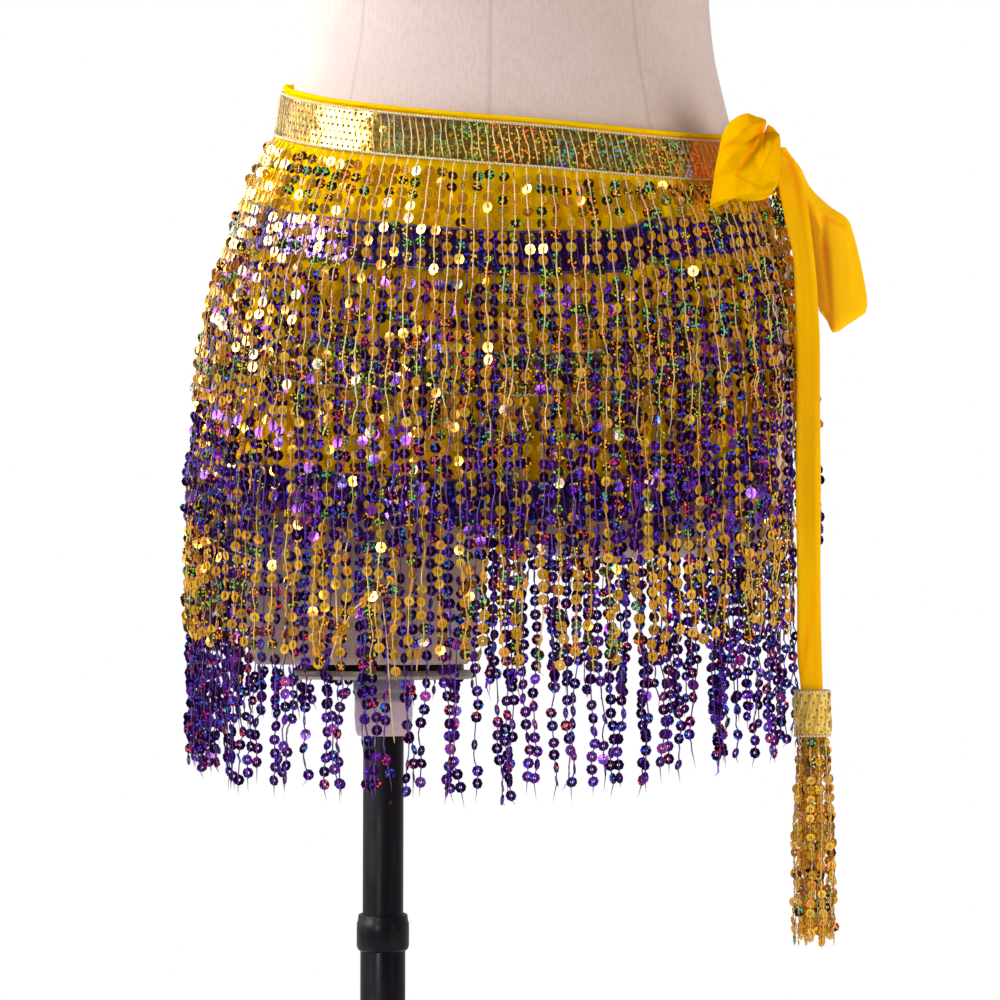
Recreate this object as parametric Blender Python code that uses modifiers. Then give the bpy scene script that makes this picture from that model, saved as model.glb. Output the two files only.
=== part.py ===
"""Belly dance hip scarf, tied on a limbless dress form that stands on a telescopic pole.

Metres, +Z up. The front faces -Y. The origin is on the floor, on the axis of the pole.

The scarf is a cloth panel wrapped round the hips and tied at the figure's left side (+X). Four rows of
sequin tape, each with its own fringe, are sewn across it, and each tie ends in a cuff and a tassel.
The panel, the tapes and the strands all come from one surface: a place on it is an angle round the hips
and a drop down the cloth, and each piece lies at its own distance off it.
"""

import math

import bmesh
import bpy
import numpy as np
from mathutils import Vector

# --- the dress form -------------------------------------------------------------------------------

FORM_X = 0.074  # the figure's middle, beside the pole that carries it under one thigh
FORM_COLUMNS = 40
ROUNDNESS = 2.2  # power of the torso's superellipses: 2 is an ellipse, more is squarer

# Sections of the torso from the crotch to the neck.
TORSO_COLUMNS = ("height", "half_width", "front", "back")
TORSO = (
    (0.700, 0.1670, 0.1050, 0.1030),
    (0.730, 0.1700, 0.1100, 0.1180),
    (0.770, 0.1715, 0.1135, 0.1275),
    (0.794, 0.1700, 0.1135, 0.1280),
    (0.824, 0.1665, 0.1120, 0.1260),
    (0.854, 0.1590, 0.1090, 0.1210),
    (0.884, 0.1490, 0.1040, 0.1130),
    (0.914, 0.1385, 0.0980, 0.1030),
    (0.935, 0.1333, 0.0940, 0.0960),
    (0.953, 0.1291, 0.0900, 0.0900),
    (0.974, 0.1250, 0.0860, 0.0840),
    (1.010, 0.1222, 0.0840, 0.0800),
    (1.050, 0.1235, 0.0860, 0.0820),
    (1.110, 0.1310, 0.0950, 0.0900),
    (1.170, 0.1400, 0.1090, 0.0960),
    (1.215, 0.1450, 0.1150, 0.0990),
    (1.265, 0.1480, 0.1080, 0.1000),
    (1.315, 0.1580, 0.0900, 0.0950),
    (1.350, 0.1660, 0.0760, 0.0850),
    (1.372, 0.1600, 0.0660, 0.0750),
    (1.390, 0.1320, 0.0580, 0.0660),
    (1.405, 0.0930, 0.0520, 0.0580),
    (1.422, 0.0640, 0.0480, 0.0520),
    (1.455, 0.0570, 0.0460, 0.0480),
)
WIDEST = 0.770  # the cloth hangs straight down below this height

# Sections of a thigh stump, with its middle measured out from the figure's middle.
THIGH_COLUMNS = ("height", "middle", "half_width", "front", "back")
THIGH = (
    (0.6057, 0.0870, 0.0630, 0.0640, 0.0640),
    (0.6100, 0.0870, 0.0670, 0.0680, 0.0680),
    (0.6450, 0.0868, 0.0700, 0.0740, 0.0760),
    (0.6790, 0.0860, 0.0730, 0.0810, 0.0850),
    (0.7100, 0.0845, 0.0755, 0.0860, 0.0920),
    (0.7500, 0.0820, 0.0770, 0.0900, 0.0980),
)
THIGH_SEGMENTS = 28
SHORT_THIGH_CUT = 0.672  # the figure's left stump ends here, above the other
STUMP_ROUNDING = 0.004

NECK_CAP_RADIUS = 0.055
NECK_CAP_HEIGHT = 0.012
NECK_CAP_BEVEL = 0.0055

# --- the stand ------------------------------------------------------------------------------------

BASE_RADIUS = 0.165
BASE_THICKNESS = 0.006
BASE_HUB_RADIUS = 0.024
BASE_HUB_HEIGHT = 0.022
BASE_BEVEL = 0.003
ROUND_SEGMENTS = 24
INNER_POLE_RADIUS = 0.0121
OUTER_POLE_RADIUS = 0.0134
POLE_BORE_RADIUS = 0.0124
OUTER_POLE_TOP = 0.4500
INNER_POLE_FOOT = 0.1500
COLLAR_BOTTOM = 0.4360
COLLAR_TOP = 0.4575
COLLAR_RADIUS = 0.0156
SOCKET_BOTTOM = 0.5630
SOCKET_RADIUS = 0.0184
PLATE_BOTTOM = 0.5968
PLATE_TOP = 0.6020
PLATE_RADIUS = 0.0535
SPACER_RADIUS = 0.0480  # a thinner disc on the plate, which the stump rests on
SEAM = 0.0003  # clear space between pieces that touch

# --- the scarf ------------------------------------------------------------------------------------

CLOTH = 0.0012  # thickness of the cloth wall
TAPE = 0.0013  # thickness of a sequin tape and of its strands
BELT_HEIGHT = 0.9415  # mean height of the scarf's top edge
BELT_SIDE_TILT = 0.0150  # the edge is this much higher at the figure's right and lower at its left
BELT_FRONT_DIP = 0.0280  # and this much lower in front and higher behind
BELT_FRONT_SAG = 0.0012  # it sags this much more in front, midway between the middle and each side

# Room between the form and the cloth's inner face. The belt stands off at its top edge and grips at its
# lower edge, and below the hips the cloth and the strands hang free. The last number is how much
# closer the cloth lies at the figure's right side.
ROOM_COLUMNS = ("drop", "room", "snug")
ROOM = (
    (0.000, 0.0055, 0.0034),
    (0.030, 0.0012, 0.0002),
    (0.060, 0.0040, 0.0024),
    (0.120, 0.0040, 0.0022),
    (0.187, 0.0045, 0.0010),
    (0.245, 0.0070, 0.0),
    (0.300, 0.0085, 0.0),
    (0.420, 0.0080, 0.0),
)
ROOM_SIDE_SHARE = 0.35  # it is this share wider at the figure's right and narrower at its left

# How much of a drop is run off at each side, since the hem hangs more level than the belt.
RUN_MEAN = 0.9975
RUN_SIDE = 0.0350
RUN_FRONT = 0.0150
RUN_TWICE = 0.0125

# The rows ride up where the cloth is drawn into the knot, by an angle in degrees.
TUCK_COLUMNS = ("angle", "ride")
TUCK = (
    (20.0, 0.0205),
    (45.0, 0.0180),
    (58.0, 0.0150),
    (63.0, 0.0135),
    (69.0, 0.0060),
    (90.0, 0.0),
)
TUCK_DROPS = (0.030, 0.066)  # the drops between which that begins
OPEN_FRONT_EDGE = (24.0, 31.0)  # angle of the panel's front edge at the top and at the hem, in degrees
OPEN_BACK_EDGE = (382.0, 348.0)  # angle of its back edge, which comes round to the same side
FOLDS = 11  # soft folds round the lower part of the cloth
FOLD_DEPTH = 0.0012
FOLD_DROPS = (0.090, 0.240)
LAYER = 0.0026  # each row of fringe lies this much further out than the row it falls over
STRANDS = 46  # strands in each row
STRAND_SHARE = 0.32  # share of the spacing that a strand takes up
STRAND_UNEVEN = 0.004
TAPE_WIDTH = 0.0255
TAPE_COLUMNS = ("name", "drop", "strand_length")
TAPES = (
    ("fringe_gold_waist", 0.0040, 0.1630),
    ("fringe_purple_high", 0.0705, 0.1625),
    ("fringe_gold_low", 0.1405, 0.1560),
    ("fringe_purple_hem", 0.2145, 0.1525),
)
TAPE_DROPS = [row[TAPE_COLUMNS.index("drop")] for row in TAPES]
PANEL_LENGTH = TAPE_DROPS[-1] + TAPE_WIDTH

# --- the bow, the tie ends and the tassels, measured from the figure's middle ----------------------

KNOT_ANGLE = 23.0  # where the knot sits on the belt, in degrees
KNOT_DROP = 0.0230
KNOT_SIZE = (0.0130, 0.0130, 0.0150)  # half sizes

# The front loop is a soft tube that stands open at the top and the bottom, drawn out into a neck that
# reaches back to the knot. Each row is a height, the oval's middle, its half sizes, and how much higher it
# is at its right.
FRONT_LOOP = (
    (0.9075, 0.1368, -0.0930, 0.0130, 0.0130, -0.0030),
    (0.8990, 0.1355, -0.0950, 0.0155, 0.0155, -0.0015),
    (0.8830, 0.1335, -0.0970, 0.0178, 0.0170, 0.0025),
    (0.8665, 0.1315, -0.0980, 0.0185, 0.0155, 0.0050),
)
FRONT_LOOP_SEGMENTS = 24
NECK_SHARPNESS = 5

# Each row of a ribbon is its middle and half of its width, as a vector.
# The side loop: down its front layer, round the bottom fold and up its back layer.
SIDE_LOOP = (
    (0.1624, -0.0480, 0.8950, 0.0005, 0.0, 0.0110),
    (0.1680, -0.0480, 0.8850, 0.0020, 0.0, 0.0110),
    (0.1804, -0.0480, 0.8674, 0.0064, 0.0, 0.0060),
    (0.1892, -0.0480, 0.8586, 0.0105, 0.0, 0.0022),
    (0.1935, -0.0480, 0.8241, 0.0140, 0.0, -0.0006),
    (0.1965, -0.0455, 0.8060, 0.0110, 0.0, 0.0050),
    (0.1935, -0.0420, 0.8241, 0.0136, 0.0, -0.0006),
    (0.1890, -0.0405, 0.8580, 0.0100, 0.0, 0.0022),
    (0.1804, -0.0405, 0.8660, 0.0060, 0.0, 0.0060),
    (0.1680, -0.0405, 0.8840, 0.0020, 0.0, 0.0100),
    (0.1624, -0.0405, 0.8920, 0.0005, 0.0, 0.0090),
)
# The tie that hangs in front, and the one behind it.
FRONT_TIE = (
    (0.1580, -0.0634, 0.9010, 0.0036, 0.0034, 0.0010),
    (0.1612, -0.0660, 0.8920, 0.0060, 0.0020, 0.0015),
    (0.1639, -0.0670, 0.8791, 0.0071, 0.0, 0.0),
    (0.1701, -0.0670, 0.8407, 0.0062, 0.0, 0.0),
    (0.1721, -0.0670, 0.7863, 0.0069, 0.0, 0.0),
    (0.1721, -0.0670, 0.7000, 0.0069, 0.0, 0.0),
    (0.1723, -0.0670, 0.6142, 0.0069, 0.0, 0.0),
    (0.1735, -0.0670, 0.5915, 0.0062, 0.0, 0.0),
)
BACK_TIE = (
    (0.1606, -0.0562, 0.8885, 0.0025, 0.0035, 0.0010),
    (0.1655, -0.0580, 0.8760, 0.0050, 0.0010, 0.0010),
    (0.1720, -0.0580, 0.8500, 0.0055, 0.0, 0.0),
    (0.1750, -0.0560, 0.8100, 0.0055, 0.0, 0.0),
    (0.1750, -0.0500, 0.7700, 0.0055, 0.0, 0.0),
    (0.1750, -0.0480, 0.7000, 0.0055, 0.0, 0.0),
    (0.1757, -0.0480, 0.6200, 0.0055, 0.0, 0.0),
    (0.1764, -0.0480, 0.5915, 0.0050, 0.0, 0.0),
)
TIE_FOLD = 0.0016  # how deep the fold along a tie's middle is
TIE_THICKNESS = 0.0024  # the folded layers of a tie together
LOOP_THICKNESS = 0.0012

CUFF_HEIGHT = 0.026
CUFF_SQUARENESS = 2.6  # 2 draws the cuff out into an ellipse, more leaves it squarer
CUFF_HALF = (0.0095, 0.0062)  # half its width and half its depth
CUFF_CELLS = (7, 5)  # the cuff's underside, in cells: every second one carries a strand
TASSEL_LENGTH = 0.122
TASSEL_SPREAD = 1.36  # how much wider the strands stand at their ends than at the cuff

COLOURS = {
    "form_cloth": ((0.80, 0.68, 0.63), 0.85, 0.0),
    "black_steel": ((0.012, 0.012, 0.014), 0.38, 0.6),
    "plate_steel": ((0.42, 0.41, 0.41), 0.35, 0.9),
    "socket_plastic": ((0.62, 0.56, 0.53), 0.30, 0.0),
    "yellow_cloth": ((0.90, 0.52, 0.01), 0.55, 0.0),
    "gold_sequins": ((0.62, 0.38, 0.06), 0.25, 0.8),
    "purple_sequins": ((0.07, 0.02, 0.22), 0.25, 0.8),
}


def clear_scene():
    for obj in list(bpy.data.objects):
        bpy.data.objects.remove(obj)


def make_material(name):
    """A Principled material with the colour, roughness and metallic value of that finish."""
    colour, roughness, metallic = COLOURS[name]
    material = bpy.data.materials.new(name)
    material.use_nodes = True
    shader = material.node_tree.nodes["Principled BSDF"]
    shader.inputs["Base Color"].default_value = (*colour, 1.0)
    shader.inputs["Roughness"].default_value = roughness
    shader.inputs["Metallic"].default_value = metallic
    return material


def collection_named(name):
    collection = bpy.data.collections.new(name)
    bpy.context.scene.collection.children.link(collection)
    return collection


def add_object(name, mesh, material):
    mesh.materials.append(MATERIALS[material])
    obj = bpy.data.objects.new(name, mesh)
    PARTS.objects.link(obj)
    return obj


def mesh_from(name, bm, smooth_angle=40.0):
    mesh = bpy.data.meshes.new(name)
    bm.to_mesh(mesh)
    bm.free()
    mesh.shade_smooth()
    mesh.set_sharp_from_angle(angle=math.radians(smooth_angle))
    return mesh


def column(table, names, name):
    return np.array([row[names.index(name)] for row in table])


def section_point(angle, half_width, front, back, roundness=2.0):
    """A point of a superellipse section. Angle 0 is at +X, 90 degrees in front (-Y), 180 at -X."""
    across, along = math.cos(angle), math.sin(angle)
    x = half_width * math.copysign(abs(across) ** (2 / roundness), across)
    depth = front if along > 0 else back
    y = -depth * math.copysign(abs(along) ** (2 / roundness), along)
    return x, y


# --- solids of the form and the stand -------------------------------------------------------------


def lofted(rings):
    """A closed bmesh through rings of equally many points, with a flat cap at each end."""
    bm = bmesh.new()
    loops = [[bm.verts.new(point) for point in ring] for ring in rings]
    count = len(loops[0])
    for lower, upper in zip(loops, loops[1:]):
        for i in range(count):
            j = (i + 1) % count
            bm.faces.new((lower[i], lower[j], upper[j], upper[i]))
    bm.faces.new(loops[0])
    bm.faces.new(loops[-1])
    bmesh.ops.recalc_face_normals(bm, faces=bm.faces)
    return bm


def torso_rings():
    rings = []
    for height, half_width, front, back in TORSO:
        ring = []
        for i in range(FORM_COLUMNS):
            angle = math.tau * i / FORM_COLUMNS
            x, y = section_point(angle, half_width, front, back, ROUNDNESS)
            ring.append((FORM_X + x, y, height))
        rings.append(ring)
    return rings


def thigh_rings(side, cut):
    """Rings of the stump on one side (-1 is the figure's right), from its cut end up into the torso."""
    columns = [column(THIGH, THIGH_COLUMNS, name) for name in THIGH_COLUMNS]
    heights = columns[0]
    kept = [h for h in heights if h > cut + 2 * STUMP_ROUNDING]
    rings = []
    for height in [cut, cut + STUMP_ROUNDING, *kept]:
        middle, half_width, front, back = (np.interp(height, heights, c) for c in columns[1:])
        inset = STUMP_ROUNDING if height == cut else 0.0
        ring = []
        for i in range(THIGH_SEGMENTS):
            angle = math.tau * i / THIGH_SEGMENTS
            x, y = section_point(angle, half_width - inset, front - inset, back - inset)
            ring.append((FORM_X + side * middle + x, y, height))
        rings.append(ring)
    return rings


def add_union(obj, other):
    """Joins a helper solid to obj with a Boolean, and keeps the helper out of the part."""
    cut = obj.modifiers.new("join_" + other.name, "BOOLEAN")
    cut.operation = "UNION"
    cut.object = other
    other.hide_render = True
    other.display_type = "WIRE"


def build_dress_form():
    torso = add_object("dress_form", mesh_from("dress_form", lofted(torso_rings()), 60), "form_cloth")
    for name, side, cut in (
        ("long_thigh", -1, THIGH[0][0]),
        ("short_thigh", 1, SHORT_THIGH_CUT),
    ):
        mesh = mesh_from(name, lofted(thigh_rings(side, cut)))
        stump = bpy.data.objects.new(name, mesh)
        HELPERS.objects.link(stump)
        add_union(torso, stump)


def turned(name, profile, material, x=0.0):
    """A solid of revolution about the vertical through x. The profile is (radius, height) pairs, from the
    top of the outer side down, and closes on itself, or starts and ends on the axis."""
    bm = bmesh.new()
    points = [bm.verts.new((radius, 0.0, height)) for radius, height in profile]
    for first, second in zip(points, points[1:]):
        bm.edges.new((first, second))
    if profile[0][0] > 0:
        bm.edges.new((points[-1], points[0]))
    mesh = bpy.data.meshes.new(name)
    bm.to_mesh(mesh)
    bm.free()
    obj = add_object(name, mesh, material)
    obj.location.x = x
    spin = obj.modifiers.new("turn", "SCREW")
    spin.axis = "Z"
    spin.steps = spin.render_steps = ROUND_SEGMENTS
    spin.use_merge_vertices = True
    spin.merge_threshold = 0.00005
    return obj


def build_stand():
    turned(
        "base",
        (
            (0.0, BASE_HUB_HEIGHT),
            (BASE_HUB_RADIUS - BASE_BEVEL, BASE_HUB_HEIGHT),
            (BASE_HUB_RADIUS, BASE_HUB_HEIGHT - BASE_BEVEL),
            (BASE_HUB_RADIUS, BASE_THICKNESS),
            (BASE_RADIUS - BASE_BEVEL, BASE_THICKNESS),
            (BASE_RADIUS, BASE_THICKNESS - BASE_BEVEL),
            (BASE_RADIUS, 0.0),
            (0.0, 0.0),
        ),
        "black_steel",
    )
    foot = BASE_HUB_HEIGHT + SEAM
    turned(
        "outer_pole",
        (
            (OUTER_POLE_RADIUS, OUTER_POLE_TOP),
            (OUTER_POLE_RADIUS, foot),
            (POLE_BORE_RADIUS, foot),
            (POLE_BORE_RADIUS, OUTER_POLE_TOP),
        ),
        "black_steel",
    )
    # The collar caps the outer pole, and its lip goes round the inner one.
    sleeve = OUTER_POLE_RADIUS + SEAM
    under_lip = OUTER_POLE_TOP + SEAM
    turned(
        "collar",
        (
            (COLLAR_RADIUS - 0.0016, COLLAR_TOP),
            (COLLAR_RADIUS - 0.0004, COLLAR_TOP - 0.004),
            (COLLAR_RADIUS, COLLAR_TOP - 0.010),
            (COLLAR_RADIUS, COLLAR_BOTTOM + 0.002),
            (COLLAR_RADIUS - 0.001, COLLAR_BOTTOM),
            (sleeve, COLLAR_BOTTOM),
            (sleeve, under_lip),
            (POLE_BORE_RADIUS, under_lip),
            (POLE_BORE_RADIUS, COLLAR_TOP),
        ),
        "black_steel",
    )
    turned(
        "inner_pole",
        (
            (0.0, PLATE_BOTTOM - SEAM),
            (INNER_POLE_RADIUS, PLATE_BOTTOM - SEAM),
            (INNER_POLE_RADIUS, INNER_POLE_FOOT),
            (0.0, INNER_POLE_FOOT),
        ),
        "black_steel",
    )
    turned(
        "pole_socket",
        (
            (SOCKET_RADIUS, PLATE_BOTTOM - SEAM),
            (SOCKET_RADIUS - 0.001, SOCKET_BOTTOM + 0.010),
            (SOCKET_RADIUS - 0.003, SOCKET_BOTTOM),
            (INNER_POLE_RADIUS + SEAM, SOCKET_BOTTOM),
            (INNER_POLE_RADIUS + SEAM, PLATE_BOTTOM - SEAM),
        ),
        "socket_plastic",
    )
    turned(
        "stump_plate",
        (
            (0.0, THIGH[0][0] - SEAM),
            (SPACER_RADIUS, THIGH[0][0] - SEAM),
            (SPACER_RADIUS, PLATE_TOP),
            (PLATE_RADIUS, PLATE_TOP),
            (PLATE_RADIUS, PLATE_BOTTOM + 0.002),
            (PLATE_RADIUS - 0.002, PLATE_BOTTOM),
            (0.0, PLATE_BOTTOM),
        ),
        "plate_steel",
    )
    neck_top = TORSO[-1][0]
    turned(
        "neck_cap",
        (
            (0.0, neck_top + SEAM + NECK_CAP_HEIGHT),
            (NECK_CAP_RADIUS - NECK_CAP_BEVEL, neck_top + SEAM + NECK_CAP_HEIGHT),
            (NECK_CAP_RADIUS, neck_top + SEAM + NECK_CAP_HEIGHT - NECK_CAP_BEVEL),
            (NECK_CAP_RADIUS, neck_top + SEAM),
            (0.0, neck_top + SEAM),
        ),
        "black_steel",
        FORM_X,
    )


# --- the surface that the scarf lies on -----------------------------------------------------------


def smooth_step(value, start, end):
    share = min(1.0, max(0.0, (value - start) / (end - start)))
    return share * share * (3 - 2 * share)


def belt_height(angle):
    """Height of the scarf's top edge at an angle round the hips."""
    height = BELT_HEIGHT - BELT_SIDE_TILT * math.cos(angle) - BELT_FRONT_DIP * math.sin(angle)
    if math.sin(angle) > 0:
        height -= BELT_FRONT_SAG * math.sin(2 * angle) ** 2
    return height


def run_share(angle):
    """How much further down the hips a drop reaches at that angle."""
    sides = RUN_SIDE * math.cos(angle) + RUN_FRONT * math.sin(angle)
    return RUN_MEAN - sides + RUN_TWICE * math.cos(2 * angle)


class Meridian:
    """The line that the cloth follows down the hips at one angle, with its length measured along it."""

    STEP = 0.003
    SPAN = 0.480

    def __init__(self, angle):
        table = [column(TORSO, TORSO_COLUMNS, name) for name in TORSO_COLUMNS]
        room_drops, rooms, snugs = (column(ROOM, ROOM_COLUMNS, name) for name in ROOM_COLUMNS)
        points = []
        top = belt_height(angle)
        for i in range(int(self.SPAN / self.STEP)):
            drop = i * self.STEP
            height = top - drop
            level = max(height, WIDEST)
            half_width, front, back = (np.interp(level, table[0], c) for c in table[1:])
            room = np.interp(drop, room_drops, rooms) * (1 - ROOM_SIDE_SHARE * math.cos(angle))
            room -= np.interp(drop, room_drops, snugs) * max(0.0, -math.cos(angle))
            room += FOLD_DEPTH * smooth_step(drop, *FOLD_DROPS) * math.sin(FOLDS * angle)
            room += CLOTH
            x, y = section_point(angle, half_width + room, front + room, back + room, ROUNDNESS)
            points.append((FORM_X + x, y, height))
        self.points = np.array(points)
        lengths = np.linalg.norm(np.diff(self.points, axis=0), axis=1)
        self.drops = np.concatenate([[0.0], np.cumsum(lengths)])

    def at(self, drop):
        return np.array([np.interp(drop, self.drops, self.points[:, k]) for k in range(3)])


MERIDIANS = {}


def surface(angle, drop):
    """A point on the cloth's outer face, at an angle round the hips and a drop below its top edge."""
    key = round(angle, 6)
    if key not in MERIDIANS:
        MERIDIANS[key] = Meridian(angle)
    tuck_angles, rides = (column(TUCK, TUCK_COLUMNS, name) for name in TUCK_COLUMNS)
    ride = np.interp(math.degrees(angle), tuck_angles, rides) * smooth_step(drop, *TUCK_DROPS)
    return MERIDIANS[key].at((drop - ride) * run_share(angle))


def off_surface(angle, drop, offset):
    """The point that lies offset outside that place on the cloth."""
    turn, slip = 0.01, 0.004
    along = surface(angle + turn, drop) - surface(angle - turn, drop)
    down = surface(angle, drop + slip) - surface(angle, max(0.0, drop - slip))
    out = np.cross(along, down)
    return surface(angle, drop) + offset * out / np.linalg.norm(out)


def edge_angles(drop):
    """Angles of the panel's front and back edges at a drop, in radians."""
    share = min(1.0, drop / PANEL_LENGTH)
    return [
        math.radians(top + (hem - top) * share) for top, hem in (OPEN_FRONT_EDGE, OPEN_BACK_EDGE)
    ]


def angle_at(drop, share):
    """The angle at a share of the way along the cloth at that drop, measured by length round the hips."""
    start, end = edge_angles(drop)
    angles = np.linspace(start, end, 241)
    widest = next(row for row in TORSO if row[0] == WIDEST)
    ring = np.array([section_point(angle, *widest[1:], ROUNDNESS) for angle in angles])
    lengths = np.concatenate([[0.0], np.cumsum(np.linalg.norm(np.diff(ring, axis=0), axis=1))])
    return float(np.interp(share, lengths / lengths[-1], angles))


def column_shares():
    """Places of the columns' edges along a tape: each strand's two edges in turn."""
    spacing = 1.0 / (STRANDS - 1 + STRAND_SHARE)
    shares = []
    for i in range(STRANDS):
        shares += [i * spacing, (i + STRAND_SHARE) * spacing]
    return shares


def row_offset(row, drop):
    """How far outside the cloth a row's strands lie at a drop: one layer more at each lower tape."""
    offset = SEAM
    for lower in range(row + 1, len(TAPES)):
        above = TAPE_DROPS[lower - 1] + TAPE_WIDTH
        ready = TAPE_DROPS[lower] - 0.002
        offset += LAYER * min(1.0, max(0.0, (drop - above) / (ready - above)))
    return offset


def thicken(obj, thickness):
    wall = obj.modifiers.new("thickness", "SOLIDIFY")
    wall.thickness = thickness
    wall.offset = 1.0


def grid_faces(bm, rows):
    """Faces between rows of vertices, wound so that they point outwards."""
    for upper, lower in zip(rows, rows[1:]):
        for i in range(len(upper) - 1):
            bm.faces.new((upper[i], upper[i + 1], lower[i + 1], lower[i]))


def build_panel():
    """The cloth wrapped round the hips, from its front edge beside the knot to its back edge."""
    drops = [0.0]
    for top in TAPE_DROPS:
        drops += [top, top + TAPE_WIDTH]
    bm = bmesh.new()
    rows = []
    for drop in drops:
        angles = [angle_at(drop, share) for share in column_shares()]
        rows.append([bm.verts.new(off_surface(angle, drop, -CLOTH)) for angle in angles])
    grid_faces(bm, rows)
    thicken(add_object("wrap_panel", mesh_from("wrap_panel", bm), "yellow_cloth"), CLOTH)


def strand_drops(row, index):
    """Drops at which a strand of a row bends: at its root, at each tape it falls over, and at its end."""
    root = TAPE_DROPS[row] + TAPE_WIDTH
    uneven = STRAND_UNEVEN * math.sin(2.4 * index + 1.7 * row)
    end = root + TAPES[row][TAPE_COLUMNS.index("strand_length")] + uneven
    bends = [root]
    for top in TAPE_DROPS[row + 1 :]:
        bends += [top - 0.002, top + TAPE_WIDTH]
    bends = [drop for drop in bends if drop < end - 0.030]
    if len(bends) == 1:
        bends.append((root + end) / 2)
    return bends + [end]


def build_fringe(row):
    """A sequin tape round the hips with the strands that hang from its lower edge, in one piece."""
    top, bottom = TAPE_DROPS[row], TAPE_DROPS[row] + TAPE_WIDTH
    bm = bmesh.new()
    upper, lower = (
        [bm.verts.new(off_surface(angle_at(drop, share), drop, SEAM)) for share in column_shares()]
        for drop in (top, bottom)
    )
    grid_faces(bm, (upper, lower))
    angles = [angle_at(bottom, share) for share in column_shares()]
    for index in range(STRANDS):
        left, right = 2 * index, 2 * index + 1
        pairs = [[lower[left], lower[right]]]
        for drop in strand_drops(row, index)[1:]:
            offset = row_offset(row, drop)
            pairs.append(
                [bm.verts.new(off_surface(angles[k], drop, offset)) for k in (left, right)]
            )
        grid_faces(bm, pairs)
    name = TAPES[row][TAPE_COLUMNS.index("name")]
    colour = "gold_sequins" if "gold" in name else "purple_sequins"
    thicken(add_object(name, mesh_from(name, bm), colour), TAPE)


# --- the bow and its ties -------------------------------------------------------------------------


def knot_middle():
    """The knot's middle: its ellipsoid just touches the belt's tape at that angle and drop."""
    angle = math.radians(KNOT_ANGLE)
    foot = Vector(off_surface(angle, KNOT_DROP, TAPE))
    out = (Vector(off_surface(angle, KNOT_DROP, 1.0)) - foot).normalized()
    reach = math.sqrt(sum((half * part) ** 2 for half, part in zip(KNOT_SIZE, out)))
    return foot + reach * out


def build_knot():
    bm = bmesh.new()
    bmesh.ops.create_uvsphere(bm, u_segments=14, v_segments=8, radius=1.0)
    bmesh.ops.scale(bm, vec=KNOT_SIZE, verts=bm.verts)
    bmesh.ops.translate(bm, vec=knot_middle(), verts=bm.verts)
    add_object("bow_knot", mesh_from("bow_knot", bm), "yellow_cloth")


def build_front_loop():
    """The front loop: each ring is an oval with its nearest point drawn back to the knot."""
    knot = knot_middle()
    bm = bmesh.new()
    rows = []
    for height, x, y, half_x, half_y, slant in FRONT_LOOP:
        to_knot = (knot.xy - Vector((FORM_X + x, y))).normalized()
        reach = 1 / math.hypot(to_knot.x / KNOT_SIZE[0], to_knot.y / KNOT_SIZE[1])
        neck = knot.xy - (reach + SEAM + LOOP_THICKNESS) * to_knot
        neck_angle = math.atan2(-to_knot.y, to_knot.x)
        ring = []
        for i in range(FRONT_LOOP_SEGMENTS):
            angle = neck_angle + math.tau * i / FRONT_LOOP_SEGMENTS
            pull = max(0.0, math.cos(angle - neck_angle)) ** NECK_SHARPNESS
            across, along = section_point(angle, 1.0, 1.0, 1.0)
            oval = Vector((FORM_X + x + half_x * across, y + half_y * along))
            place = oval.lerp(neck, pull)
            ring.append(bm.verts.new((*place, height + slant * across)))
        rows.append([*ring, ring[0]])
    grid_faces(bm, rows)
    thicken(add_object("bow_loop_front", mesh_from("bow_loop_front", bm), "yellow_cloth"), LOOP_THICKNESS)


def build_ribbon(name, table, thickness, fold, middle_columns):
    """A strip of cloth through a table's rows, folded a little along its middle."""
    bm = bmesh.new()
    rows = []
    for x, y, z, *half in table:
        row = []
        for i in range(middle_columns):
            across = 2 * i / (middle_columns - 1) - 1
            middle = Vector((FORM_X + x, y - fold * (1 - across * across), z))
            row.append(bm.verts.new(middle + across * Vector(half)))
        rows.append(row)
    grid_faces(bm, rows)
    thicken(add_object(name, mesh_from(name, bm), "yellow_cloth"), thickness)


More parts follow.
